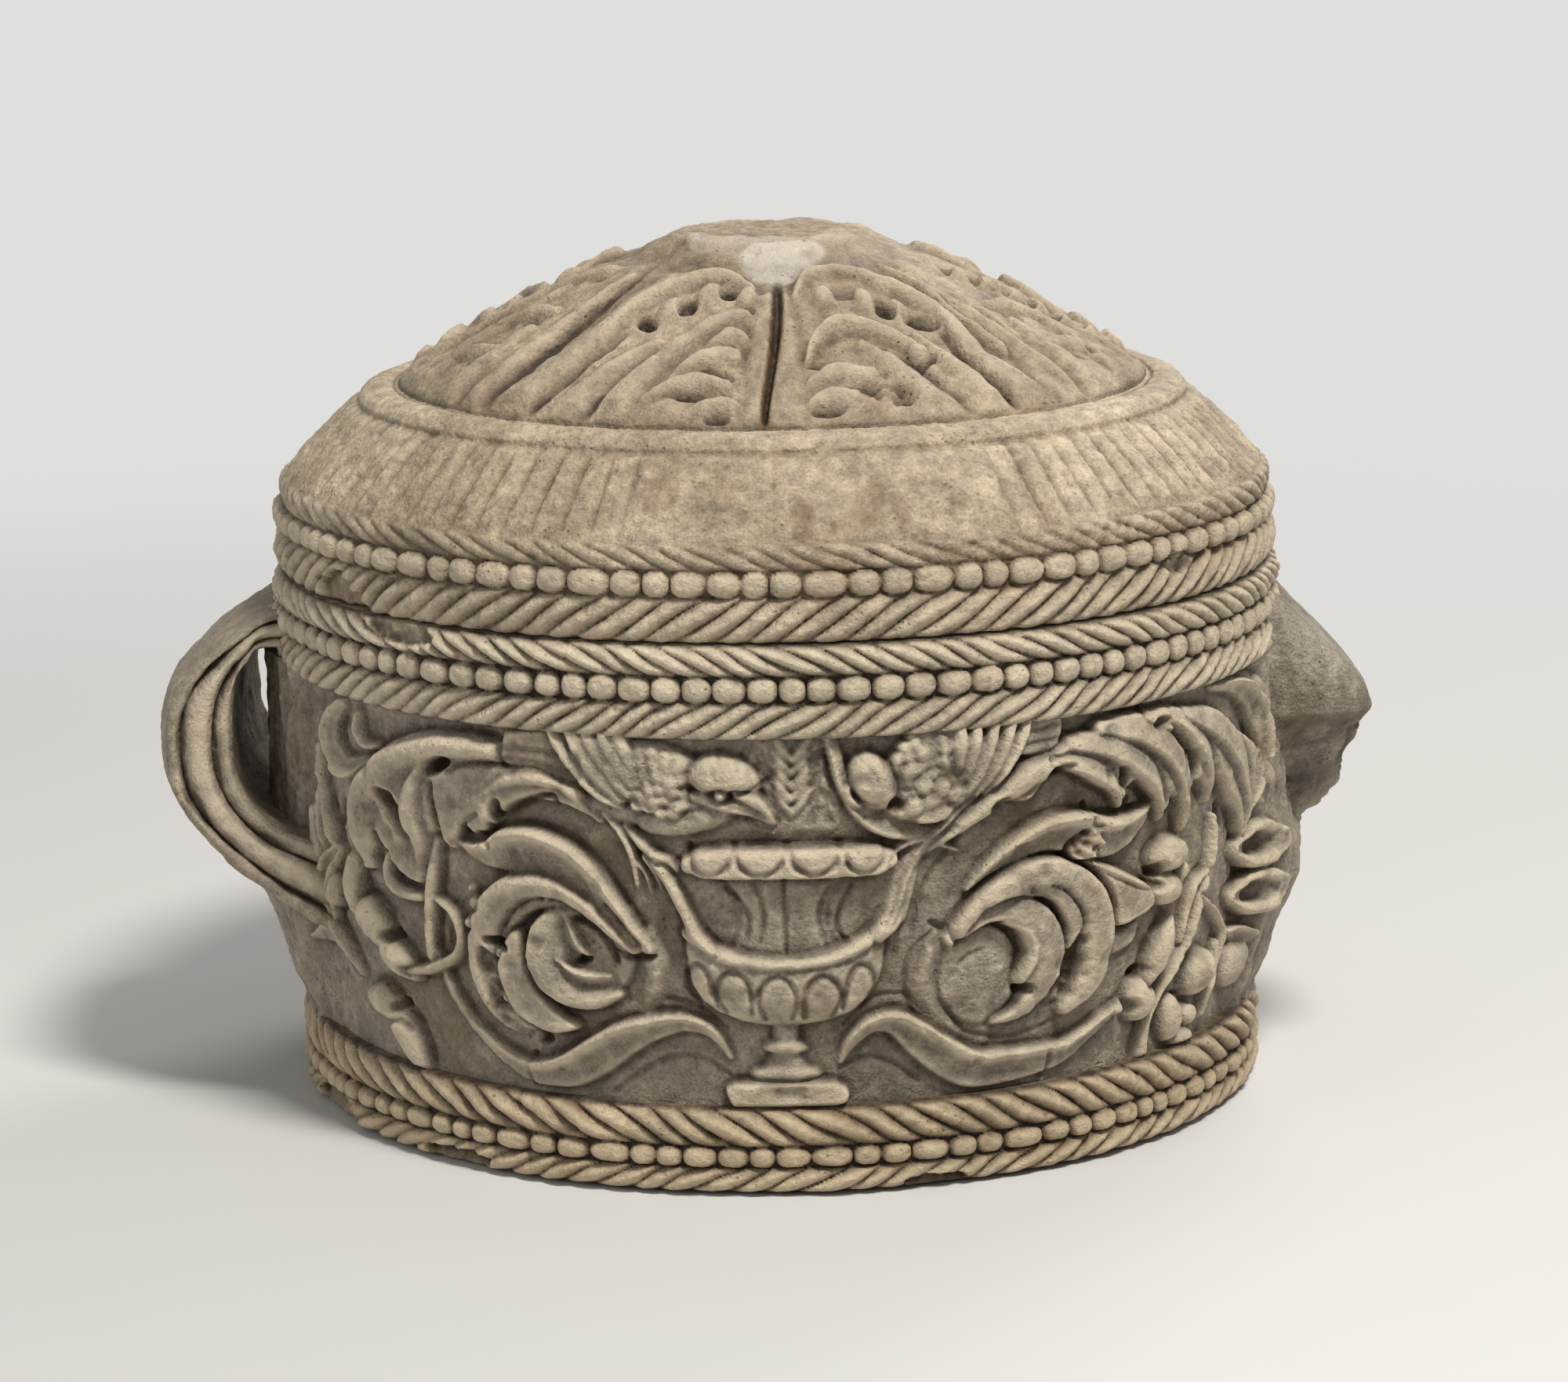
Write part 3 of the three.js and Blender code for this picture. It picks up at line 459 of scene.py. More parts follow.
    def rough(self, x, y, long, wide, amount, tilt=0, seed=5, drop=0.0):
        """A broken or pitted patch."""
        spot, far = self.oval(x, y, long, wide, tilt)
        flat = np.stack([self.along[spot], self.up[spot], np.full(spot.size, 3.0)], -1)
        lumps = 0.6 * cloudy(flat, 3.1, seed) + 0.4 * cloudy(flat, 1.4, seed + 1)
        self.depth[spot] += (amount * lumps - drop) * np.clip((1 - far) * 2.5, 0, 1)

    def turned(self, middle, stations, full=0.5, keep=0.6, moat=0.6):
        """A turned form such as a vase: stations of height, half width and rise, foot first."""
        heights, widths, rises = (np.array(column, float) for column in zip(*stations))
        spot = np.flatnonzero((self.up > heights[0]) & (self.up < heights[-1])
                              & (np.abs(self.along - middle) < widths.max() + 3))
        y, side = self.up[spot], np.abs(self.along[spot] - middle)
        width, rise = np.interp(y, heights, widths), np.interp(y, heights, rises)
        here = self.depth[spot]
        form = rise * np.clip(1 - (side / width) ** 2, 0, 1) ** full
        trench = here - self.moat(here, moat, (side - width) / 2.4)
        self.depth[spot] = np.where(side < width, np.maximum(form, here * keep), trench)


# Krater: the vase in the middle of the front, turned in shape, with a scalloped rim, a plain
# neck with incised lines, a gadrooned bowl, and a foot on a small block.
def carve_krater(c):
    c.turned(1.6, [(38, 11.5, 3), (40, 12.4, 5.5), (42, 11, 5.2), (43.4, 7.4, 4.2), (47.6, 4.6, 3.5), (48.8, 7.4, 5),
        (50, 7.8, 5.6), (51.6, 6.6, 5), (52.6, 4.2, 3.5), (60.5, 4.6, 3.5)])
    c.plate([(-16.4, 28.4), (18.6, 28.4), (18.6, 37.4), (-16.4, 37.4)], 5.6, bevel=0.7)
    c.turned(1.8, [(57.4, 7, 2.4), (59, 15, 5), (62, 22.4, 7.4), (66, 27.6, 9), (71, 30.6, 9.8), (76, 32, 9.8),
        (82, 32.6, 9), (90, 33, 7.6)], full=0.36, keep=0)
    # the neck curves in between two sunk fields that the handles close
    c.plate([(-31, 89), (-22, 84), (-10, 81), (2, 80), (14, 81), (24, 84), (34, 89), (38, 100), (38, 112), (-36, 112),
        (-34, 100)], 1.6, bevel=1.0, keep=0, moat=0)
    c.turned(1.4, [(79, 21, 4.6), (84, 16.6, 4.4), (90, 14, 4.2), (96, 13.4, 4.2), (102, 15, 4.4), (107, 19, 4.8),
        (112, 25, 5)], full=0.22, keep=1, moat=0.5)
    c.band([(-30.6, 89, 1.6, 6.4), (-25, 85.4, 2.6, 8.6), (-19, 82.2, 2.8, 9.6), (-10.6, 80.4, 2.6, 10.2),
        (1.4, 79.4, 2.6, 10.4), (13, 80.6, 2.6, 10.2), (21.6, 83, 2.8, 9.4), (30, 87.4, 2.6, 8), (34.6, 92, 1.6, 6)],
        keep=0.9, moat=0.5)
    for x, y, wide, lean in ((-26.4, 72.6, 4.6, 3.0), (-15, 70.8, 5.8, 1.6), (-1, 69.2, 6.2, 0.3),
            (13.4, 69.2, 6, -1.2), (25.8, 72, 5, -2.6)):
        c.cut([(x - wide * 0.7 + lean, y - 8.4, 0.8), (x - wide, y - 1, 1.0), (x - wide * 0.62, y + 4.6, 1.0),
            (x, y + 6.6, 1.0), (x + wide * 0.62, y + 4.6, 1.0), (x + wide, y - 1, 1.0),
            (x + wide * 0.7 + lean, y - 8.4, 0.8)], 1.7)
    # scalloped rim
    c.band([(-28.6, 112, 3.2, 6), (-25, 112.6, 4.9, 8.4), (-15, 112.8, 5.4, 9.4), (2, 112.8, 5.4, 9.6),
        (21, 112.8, 5.4, 9.4), (31.6, 112.8, 5.0, 8.4), (35.6, 112.8, 3.2, 6)], FLAT)
    for x, wide in ((-21.6, 7.2), (-5.8, 8.0), (11.2, 8.0), (27.2, 7.0)):
        c.cut([(x + share * wide, y, width) for share, y, width in (
            (-1, 118.6, 0.8), (-0.86, 113.8, 1.1), (-0.5, 110.8, 1.1), (0, 109.8, 1.1), (0.5, 110.8, 1.1),
            (0.86, 113.8, 1.1), (1, 118.6, 0.8))], 1.9)
    # lines on the neck
    c.cuts(([(-17.4, 104.3, 0.5), (-12.5, 100, 0.8), (-9.8, 93.6, 0.9), (-10.4, 87.3, 0.6)],
        [(-8.2, 106.4, 0.6), (-5.6, 101, 0.9), (-5.1, 93, 0.9), (-6.2, 86, 0.6)],
        [(1.6, 108, 0.5), (1.8, 96, 0.6), (2, 83, 0.5)],
        [(16.1, 104.6, 0.6), (13.4, 99, 0.9), (12.9, 92.6, 0.9), (15.2, 84.2, 0.6)],
        [(23.6, 104.3, 0.5), (19.8, 97, 0.8), (18.8, 89.6, 0.8), (22.6, 85.2, 0.5)]), 1.4)
    # handles, from the feet of the birds down to the shoulder
    c.band([(-50, 124, 1.4, 3), (-43.6, 117.6, 2.2, 5), (-38, 110, 2.4, 6.2), (-33, 101.6, 2.5, 6.8),
        (-29.4, 94, 2.5, 7.2), (-26.4, 88, 2.7, 8), (-21, 83.4, 1.9, 9)], keep=0.6)
    c.band([(60, 127, 1.0, 2.4), (50, 119, 2.0, 3.2), (43.6, 111, 3.6, 3.6), (39.6, 102, 4.8, 4.2),
        (37.4, 94, 4.8, 5.6), (32, 88, 3.6, 8)], keep=0.8, moat=0.2)
    c.cuts(([(57, 122, 0.5), (47.6, 112, 0.8), (42, 101, 0.9), (39.6, 90, 0.8), (37.6, 78, 0.6)],
        [(60, 118, 0.5), (51, 108, 0.8), (46, 97, 0.8), (43.6, 84, 0.6)]), 1.0)
    for side in (-1.4, 1.2):
        c.cut([(56 + side, 122.6, 0.4), (47.4 + side, 114.6, 0.6), (41.6 + side, 106, 0.7), (38.6 + side, 97, 0.7),
            (35.4 + side, 90.6, 0.5)], 0.9)


# Jet of water between the birds: a spike of chevrons that rises from the krater to the ropes,
# with thin arcs like scales on either side of it.
def carve_jet(c):
    c.plate([(-13, 122), (18, 122), (19, 140), (17, 153), (-9, 153), (-13, 142)], 1.0, bevel=4, keep=1, moat=0)
    for y, lean in ((129, 0.4), (133.4, 0), (137.6, 0.5), (142, 0.2), (146.4, 0.6)):
        for side in (-1, 1):
            c.band([(4.2 + lean, y, 1.3, 2.7), (4.2 + lean + side * 2.9, y + 3.7, 1.9, 3.1),
                (4.2 + lean + side * 5, y + 7.1, 1.5, 2)], keep=1, moat=0.6)
    for x, y in ((-6, 129), (-9, 136), (-5.5, 142), (-8, 148), (13.5, 127), (14, 133), (15, 139.5), (14.5, 146)):
        for wide in (2.2, 4.2):
            c.cut([(x - wide, y - 2, 0.5), (x - wide * 0.6, y + wide * 0.5, 0.6), (x, y + wide * 0.8, 0.6),
                (x + wide * 0.6, y + wide * 0.5, 0.6), (x + wide, y - 2, 0.5)], 1.0)


# Left bird: it perches on the krater's handle and stoops to drink, with scaly breast, folded
# wing of long feathers and a square tail.
def scales(c, rows, slope, waves, size, lean, crown):
    """Rows of small overlapping feathers, highest at the crown of the breast."""
    for row, (x0, y0, count) in enumerate(rows):
        for n in range(count):
            x = x0 + 3.9 * n
            c.boss(x, y0 + slope * n + 0.5 * math.sin(waves[0] * n + row), *size,
                   tilt=lean + 14 * math.sin(waves[1] * n + row), keep=0.96, moat=0.5,
                   base=crown[2] - 0.012 * (x - crown[0]) ** 2 - 0.02 * (y0 - crown[1]) ** 2)


def carve_left_bird(c):
    c.plate([(-93, 153), (-93, 141.5), (-80, 141), (-66, 137), (-60, 143), (-64, 154.5)], 3.8, bevel=1.4)
    c.cut([(-92, 147.6, 0.8), (-80, 147.4, 0.8), (-70, 147, 0.7)], 1.2)
    c.cut([(-92, 143.6, 0.6), (-80, 143, 0.6), (-68, 141, 0.6)], 0.7)
    c.boss(-52, 130, 12, 5.5, 3.6, tilt=-16)
    c.boss(-30, 128, 17, 6.5, 4.2, tilt=10)
    c.boss(-41, 141, 22, 11.5, 7.4, tilt=-12, full=0.42)
    scales(c, (
        (-45, 131.6, 4), (-46.6, 135.4, 5), (-44.6, 139, 5), (-46, 142.6, 5), (-43, 146, 4), (-43.6, 149.2, 3)),
        -0.75, (2.3, 3.1), (2.5, 2.1, 1.1), -25, (-40, 139, 6.6))
    c.rough(-41, 139, 19, 10, 1.0, tilt=-12, seed=15)
    # wing: long feathers that lie one over the next, from its leading edge to the breast
    c.bands(([(-52, 158, 1.6, 6.6), (-49.6, 151, 2.6, 7.8), (-46.6, 144.6, 1.6, 7.4)],
        [(-57.6, 158, 1.8, 6.6), (-53.6, 149.6, 3.0, 8), (-48.8, 141.6, 2.6, 8), (-45.6, 137.6, 1.2, 7)],
        [(-63.6, 158, 1.8, 6.6), (-58.6, 149.6, 2.8, 8), (-52.6, 141, 2.8, 8.2), (-47.6, 134.8, 1.2, 7)],
        [(-69.6, 158, 1.8, 6.4), (-63.8, 149.6, 2.8, 7.8), (-57, 140.6, 2.8, 8.2), (-50.4, 133.2, 1.3, 7)],
        [(-76, 157, 1.2, 6), (-69.6, 148.6, 2.2, 7.4), (-61.6, 139, 2.4, 7.8), (-55.4, 133.4, 1.8, 7.2),
        (-51, 131, 0.9, 6)]), FEATHER, keep=0.9, moat=0.6)
    c.boss(-17.5, 139.8, 12.2, 9.0, 8, tilt=-12, full=0.42)
    c.band([(-27, 135, 2.2, 4), (-18, 132.4, 3, 5.4), (-9.4, 130.4, 2.4, 5), (-2, 125.6, 0.7, 3.2)], keep=0.3)
    c.band([(-14, 136, 1.5, 5.5), (-7.6, 133.6, 2.7, 6.2), (-3.4, 129.6, 1.6, 5), (-1.2, 125.4, 0.5, 3)], keep=0.4)
    c.cut([(-27, 139.6, 0.7), (-21, 136.6, 0.8), (-14, 135.8, 0.8), (-7, 138.2, 0.8), (-3, 140.2, 0.5)], 1.5)
    c.cut([(-15, 131.4, 0.7), (-9.6, 130.2, 0.7), (-4.4, 127.4, 0.5)], 1.1)
    c.drill(-18.2, 135.4, 3.6, 3.0, 2.0)
    c.boss(-18.2, 135.4, 2.3, 2.1, 7.4, keep=0.6, moat=0.9)
    c.drill(-28.5, 137.4, 3.2, 1.4, 2.6, tilt=-10)
    for x, y in ((-19, 147), (-13, 144.6), (-20.5, 142.6), (-9, 141.4)):
        c.cut([(x, y + 1.8, 0.4), (x + 0.8, y - 1.6, 0.5)], 0.6)
    c.band([(-57, 128, 1.2, 3.4), (-51, 121, 1.5, 4.4), (-47.5, 113, 1.5, 4.6), (-46.5, 104, 0.9, 3)], moat=0.5)
    c.band([(-50, 124, 1.1, 3), (-44, 117.5, 1.9, 4.6), (-39, 113.5, 1.9, 5)], moat=0.4)
    c.bands(([(-44, 114, 1.0, 4), (-40.5, 108.5, 1, 3.4), (-38.5, 103, 0.6, 2)],
        [(-46, 112, 0.9, 3.6), (-43, 107, 0.9, 3), (-42, 101.5, 0.5, 1.8)],
        [(-41.5, 115, 1.2, 5), (-36, 113.4, 1.4, 5.4), (-33, 109.5, 0.8, 4)]), keep=0.6, moat=0.4)


# Right bird: it perches on the other side of the krater, with its head turned back over its
# scaly breast, a raised wing and a square tail.
def carve_right_bird(c):
    c.plate([(74, 156), (72, 147), (82, 142.6), (93, 143), (97, 147), (96, 156)], 3.6, bevel=1.4)
    for x0, y0, x1, y1 in ((75, 149.5, 95, 152.5), (74, 146.2, 95, 147.4)):
        c.cut([(x0, y0, 0.7), ((x0 + x1) / 2, (y0 + y1) / 2 - 0.3, 0.8), (x1, y1, 0.6)], 1.1)
    c.band([(16.5, 155, 1.8, 4.4), (18.5, 148, 2.4, 5.6), (20.5, 139, 2.2, 5), (26, 130, 3.2, 4.2), (34, 124, 4, 3.8),
        (44, 121.5, 3.4, 3.2), (52, 122.5, 2, 2.4)], LIP_RIGHT, moat=0.9)
    c.cut([(15.5, 152, 0.6), (16.8, 143, 0.7), (20.5, 134, 0.7), (28, 127, 0.6)], 0.7)
    c.boss(53, 141, 24, 11.5, 6.6, tilt=12, full=0.4)
    c.boss(48, 130.5, 14, 6, 6.6, tilt=6, full=0.45, keep=0.8)
    scales(c, ((40.6, 134, 5), (38.6, 138, 6), (38, 142, 6), (38.6, 146, 6), (41, 150, 5), (44, 153.4, 4)),
        0.8, (2.1, 2.9), (2.6, 2.2, 1.0), 25, (48, 142, 6.4))
    for x, y, tilt in ((43.6, 130.4, 30), (48.8, 131.6, 10), (52.4, 135.6, 50), (57, 133.2, 20), (46.6, 136.6, -20),
            (42.4, 142, 35), (47.4, 147, 0)):
        c.boss(x, y, 3.3, 2.6, 1.0, tilt=tilt, base=6.3, full=0.6, keep=0.9, moat=0.25)
    for x, y, long, wide, tilt in ((61, 131.5, 6.4, 2.8, 28), (50.5, 126.6, 6.5, 2.6, 12)):
        c.boss(x, y, long, wide, 1.1, tilt=tilt, base=5.2, full=0.35, keep=0.95, moat=0.5)
    c.rough(50, 140, 18, 10, 0.7, tilt=10, seed=17)
    # wing: long feathers that run up and back to the tail
    c.bands(([(60, 158, 1.6, 6.6), (59, 149, 2.6, 7.8), (58, 141, 1.4, 7)],
        [(66, 158, 1.6, 6.8), (63.4, 148, 2.6, 8), (60.6, 138.6, 1.3, 7)],
        [(72.6, 158, 1.6, 6.8), (68.6, 148, 2.5, 8), (64, 138, 2.2, 8), (61, 133.6, 1.1, 6.6)],
        [(79, 158, 1.6, 6.6), (74, 147.6, 2.3, 7.8), (68.6, 138.6, 2.3, 8), (63.6, 132, 1.1, 6.4)],
        [(85.4, 158, 1.2, 6), (79.6, 148.6, 2.2, 7.4), (73.6, 139.6, 2.3, 7.6), (67, 132.4, 1.0, 5.6)]),
        FEATHER_RIGHT, keep=0.9, moat=0.6)
    c.boss(30.6, 138.8, 7.4, 10.6, 8, tilt=28, full=0.42)
    c.band([(22.5, 137, 1.3, 4.6), (22.5, 133.5, 1.6, 4.6), (26, 131.2, 1.2, 4)], keep=0.5)
    c.cut([(23.5, 136.5, 0.8), (26.5, 132.6, 0.9), (31.5, 131, 0.7)], 1.5)
    for x, y in ((26, 147), (30, 149), (33, 145), (31, 140)):
        c.cut([(x, y + 1.8, 0.4), (x + 0.6, y - 1.6, 0.5)], 0.6)
    c.cut([(28, 144.5, 0.5), (30, 142.4, 0.5)], 0.7)
    c.drill(38, 130.8, 2.8, 2.4, 3.4)
    c.band([(63, 130.5, 1.6, 4), (58, 127, 1.7, 4.6), (52, 121, 1.5, 4.2), (44, 113, 1.1, 3)], keep=0.6, moat=0.5)
    c.bands(([(50, 119, 1, 3), (42, 117, 1.2, 3.2), (36, 113, 0.6, 2)],
        [(50, 120, 0.9, 2.6), (43, 111, 1, 2.8), (38, 104, 0.6, 1.8)],
        [(52, 116, 0.8, 2.4), (57, 114.5, 0.8, 2.4), (60, 113, 0.4, 1.6)]), keep=0.7, moat=0.4)


# Left scroll: a leaf and a ring that roll round a drooping eye, on a stem that waves out from
# the krater's foot. Drilled slots free its edges, and two places are broken away.
def carve_left_scroll(c):
    c.band([(-17, 46, 0.8, 3), (-22.6, 54.6, 2.2, 5), (-31, 58, 3.2, 6.6), (-41.6, 56, 4.4, 7.4),
        (-52.4, 51.4, 6.0, 7.8), (-62, 45, 6.8, 7.6), (-72, 39, 6.4, 7), (-82, 36.6, 5.0, 6.4), (-90, 36.6, 4.0, 5.6),
        (-99, 40.4, 3.2, 5), (-108, 46.6, 2.6, 5), (-116, 54, 2.6, 4.6), (-123, 63, 2.6, 4.2), (-127, 72, 2.0, 3.6)],
        LIP_RIGHT)
    c.cut([(-87.6, 42.5, 0.9), (-89.4, 37, 1.0), (-88.6, 32, 0.8)], 1.4)
    c.cuts(([(-47, 65, 0.7), (-36, 65.6, 0.9), (-26, 62.6, 0.9), (-18, 56, 0.6)],
        [(-58, 32, 0.5), (-47, 40.6, 0.9), (-35, 46, 0.9), (-25.6, 45.4, 0.9), (-17.6, 40, 0.6)]), 1.1)
    c.band([(-43, 88, 3.0, 3), (-41, 80, 5.4, 3.0), (-41.6, 71, 5.4, 2.4), (-45, 62, 3.4, 1.2)], MOUND, keep=0.8,
        moat=0)
    # flat crescent below the eye
    c.plate([(-96.6, 81), (-97.6, 74), (-96, 66), (-91.6, 57.6), (-83.6, 53), (-76, 51.4), (-67.6, 54.4), (-72, 57.6),
        (-78, 62.6), (-83.6, 69.6), (-86.4, 78), (-88, 86), (-92.6, 85)], 6.4, bevel=0.8, keep=0.1)
    # eye: a dome that falls away inwards, two comma ridges and a drilled pupil
    c.boss(-67, 79.6, 19, 17, 2.4, full=0.2, keep=0.2, moat=0.9)
    c.band([(-66, 95.4, 1.4, 3.4), (-73.6, 91.6, 4.6, 6.6), (-77.6, 85.6, 7.2, 8), (-78.4, 78.6, 8, 8.6),
        (-76, 71.6, 7.4, 8.4), (-70, 66.4, 5.6, 7.4), (-62, 64.8, 4.0, 6), (-54, 67, 2.0, 3.6)],
        ((-1, 0), (-0.92, 0.6), (-0.72, 0.92), (-0.4, 1), (0.0, 0.93), (0.5, 0.7), (1, 0.3)), keep=0.3)
    c.band([(-71.6, 92.4, 1.0, 6.6), (-69.8, 87, 2.2, 7.6), (-68, 82.6, 2.4, 7.6), (-64.6, 79.6, 1.4, 6.6)], LIP,
        keep=0.8, moat=0.5)
    c.band([(-74, 76.6, 1.2, 7.4), (-70, 73.2, 2.2, 7.8), (-63.6, 71.6, 2.4, 7.2), (-57, 72.4, 1.4, 5.6)], LIP,
        keep=0.8, moat=0.5)
    c.drill(-66, 77.6, 3.2, 1.6, 5.4, tilt=24)
    c.cut([(-69, 91.6, 0.8), (-62, 89.4, 1.2), (-57, 84.6, 1.2), (-54, 78, 0.9)], 2.4)
    # inner fold, ring and outer leaf, each lying over the one before
    c.band([(-97.6, 76, 1.4, 5), (-95.4, 85, 3.0, 6), (-87, 93.4, 3.0, 6.4), (-76, 96.8, 2.4, 6),
        (-66, 95.6, 1.6, 5.4), (-58, 90, 1.2, 5)], ((-1, 0), (-0.8, 0.6), (0, 0.8), (0.6, 1), (1, 0.2)), keep=0.2)
    c.band([(-47.6, 82.4, 1.8, 6), (-54, 89.4, 3.6, 7.6), (-60, 95.6, 4.4, 8.4), (-67, 100, 4.8, 8.8),
        (-75, 102.6, 5.0, 9), (-84, 102, 5.2, 9), (-92.6, 97.8, 5.8, 8.8), (-99, 91, 6.4, 8.4),
        (-103, 82.6, 6.2, 7.8), (-104.6, 74, 5.2, 7), (-103.4, 65.6, 5, 6.2), (-99.6, 58, 4.6, 5.2),
        (-93.6, 52.4, 3.6, 4), (-86, 48.6, 1.8, 2.6)], ((-1, 0), (-0.94, 0.72), (-0.6, 0.96), (-0.1, 1), (0.5, 0.88),
        (0.86, 0.68), (1, 0)), keep=0.2)
    c.band([(-115, 112.6, 0.9, 3.6), (-108, 110.6, 2.6, 5.4), (-101, 110, 4.6, 7), (-93, 112, 7.6, 8.6),
        (-84, 113.6, 8.0, 9.2), (-75, 112.4, 7.4, 9.4), (-67, 108.6, 6.4, 9.4), (-60.6, 103, 5.0, 9.2),
        (-54, 95.6, 3.8, 8.8), (-48, 88, 3.2, 8.2), (-43.4, 83, 2.4, 7)],
        ((-1, 0), (-0.92, 0.4), (-0.4, 0.46), (0.1, 0.62), (0.5, 0.86), (0.78, 1), (0.94, 0.86), (1, 0)))
    # square ends and notches
    c.cut([(-103, 117, 1.0), (-98.6, 113.6, 1.2), (-98, 120.6, 1.2)], 2.6)
    c.cut([(-54, 81.4, 0.8), (-50, 79.8, 1.2), (-44.6, 79.6, 1.2), (-41, 80.6, 0.8)], 2.2)
    c.cut([(-46, 84.6, 0.6), (-51, 90.6, 0.8), (-57, 97.6, 0.7)], 1.8)
    # slots and breaks
    c.drill(-97, 80.6, 4.4, 1.7, 7, tilt=-20)
    c.rough(-101, 69, 3.4, 11, 3.4, tilt=10, seed=7, drop=4.2)
    c.rough(-94.6, 54, 9.6, 3.8, 3.4, tilt=-44, seed=9, drop=3.2)
    c.drill(-84.6, 48.6, 4.4, 2.2, 3.4, tilt=-12)
    # stem, loop and knobs to its left
    c.band([(-122.4, 112, 1.6, 4.2), (-124.4, 103, 2.4, 5.4), (-127, 90, 2.6, 5.6), (-128.4, 78, 2.4, 5),
        (-128, 70, 2.0, 4.4)])
    c.band([(-123.6, 91, 1.2, 4.4), (-117.6, 88.4, 1.9, 4.8), (-114, 82, 2.0, 5), (-115, 75.4, 2.0, 5),
        (-120, 70.6, 2.2, 5), (-130, 66, 2.2, 5), (-140, 63.6, 2.0, 4.6)])
    c.drill(-119.6, 79, 2.4, 5.6, 1.8, tilt=6)
    for x, y, long, wide in ((-106.6, 92.4, 3.4, 2.8), (-109.4, 85.4, 3.0, 2.6), (-108, 97.6, 2.0, 1.6)):
        c.boss(x, y, long, wide, 4.4)


# Left end of the front: a broad leaf that folds back over itself, with a drilled hollow in its
# fold, and knotted twigs below it that run on to the root of the handle.
def carve_left_sprig(c):
    c.plate([(-93.7, 149), (-93.6, 141.4), (-81.8, 141.9), (-70.4, 141.6), (-63.8, 135), (-57.6, 125), (-66, 128),
        (-72.6, 130), (-83, 129.6), (-94, 123), (-97.4, 119), (-105.6, 116), (-109, 119), (-113.6, 109.6),
        (-118, 111), (-121.4, 115), (-124.6, 105), (-128.4, 95.6), (-138.6, 96.6), (-147.6, 103), (-153.8, 108),
        (-158.8, 97), (-167.3, 102), (-168, 119), (-160, 131), (-147, 141), (-131, 147.6), (-117, 150),
        (-104, 150.4)], 4.4, bevel=1.6, swell=0.8)
    # the roll of the fold, and the ridge beside the hollow
    c.band([(-93, 145, 3.4, 7.4), (-105.4, 145, 4.0, 8.8), (-117.3, 143.9, 4.6, 9.2), (-130.5, 139.7, 5.6, 9.4),
        (-144.3, 132.7, 7.0, 9.4), (-154.4, 123.8, 7.6, 9), (-159.3, 113.8, 7.0, 8.4), (-159.8, 105.4, 5.4, 7.6),
        (-158.4, 98, 2.4, 6)], ((-1, 0), (-0.93, 0.7), (-0.6, 0.98), (-0.1, 1), (0.4, 0.84), (1, 0.5)), keep=0.9,
        moat=0.4)
    c.band([(-125, 137, 3, 7.6), (-130.4, 127, 4.8, 9), (-130.8, 118.8, 5.4, 9), (-128.8, 112, 4.8, 7.8),
        (-129.4, 103, 3, 5.6)], keep=0.95, moat=0)
    # the leaf under the bird's tail: a ridge along its top over a hollow, a slot and notches
    c.band([(-101, 130, 2, 5.2), (-90, 136.6, 3.2, 7.2), (-79.8, 138.4, 3.4, 7.8), (-70.6, 137.2, 3.4, 7.6),
        (-63.9, 132.4, 2.8, 7), (-58.2, 125.6, 1.4, 5)], keep=0.95, moat=0)
    for line, deep in (
            ([(-122.4, 132, 0.8), (-121.8, 124, 1.2), (-119.4, 113, 1.0)], 2.8),
            ([(-115, 136.8, 0.7), (-107, 140.2, 1.0), (-95, 141.4, 0.9)], 1.8),
            ([(-94, 124, 0.9), (-88, 128.4, 1.0), (-82, 131, 1.0), (-74.4, 133, 1.0), (-73.4, 130.4, 0.9)], 3.8),
            ([(-110, 116, 0.8), (-108, 120.6, 0.9), (-103, 123.6, 0.7)], 1.8)):
        c.cut(line, deep)
    c.drills(((-140.6, 118.6, 10, 3.6, -47), (-119.4, 138.2, 5.4, 2.4, 30), (-95.8, 125.8, 1.8, 3.8, -10),
        (-151, 105, 2.4, 5.4, 30), (-164.2, 98.6, 2.4, 4.6, 30)), 7.4)
    c.band([(-158, 134, 1.6, 5), (-166, 130, 3.6, 6.6), (-173, 129.4, 4.0, 7.4), (-179.6, 134.6, 3.8, 7.4),
        (-180.6, 143, 3.6, 6.8), (-175, 150, 2.4, 5)], LIP)
    c.band([(-163, 149, 1.2, 4), (-163.6, 143, 2.0, 5), (-159, 138.6, 2.0, 5), (-151, 139.6, 1.2, 4)])
    # knotted twigs, one with a drilled eye
    c.band([(-147.2, 103, 1.6, 4.4), (-147.6, 96, 2.2, 5.6), (-143, 91.6, 2.6, 6), (-136, 90.6, 2.4, 5.6),
        (-129, 91, 1.8, 4.8)])
    c.band([(-168, 98, 3.0, 6.6), (-169.4, 90, 4.6, 8), (-166.6, 82, 4.4, 7.8), (-158, 77.6, 5.8, 8.6),
        (-151, 71, 5.0, 8), (-146, 65.6, 5.2, 8), (-139, 62.6, 3.2, 6)], keep=0.4)
    c.boss(-158, 78.4, 9.6, 7, 9.2, tilt=-34, full=0.42, keep=0.9)
    c.boss(-144.6, 67, 8.8, 5.8, 8.6, tilt=-26, full=0.42, keep=0.9)
    c.drill(-148.6, 74.4, 3.4, 2.2, 5.4, tilt=10)
    c.band([(-165, 50, 3.4, 5), (-157, 50.6, 6.2, 8), (-149.6, 47, 4.8, 7.2), (-144.6, 41, 6.2, 8),
        (-139.6, 34, 5.0, 7), (-136.6, 29.6, 2.4, 5)])
    c.drill(-147.6, 50, 3.0, 2.0, 5, tilt=20)
    c.cut([(-151, 44, 0.9), (-145, 45.6, 1.2), (-140.6, 43, 0.8)], 1.8)
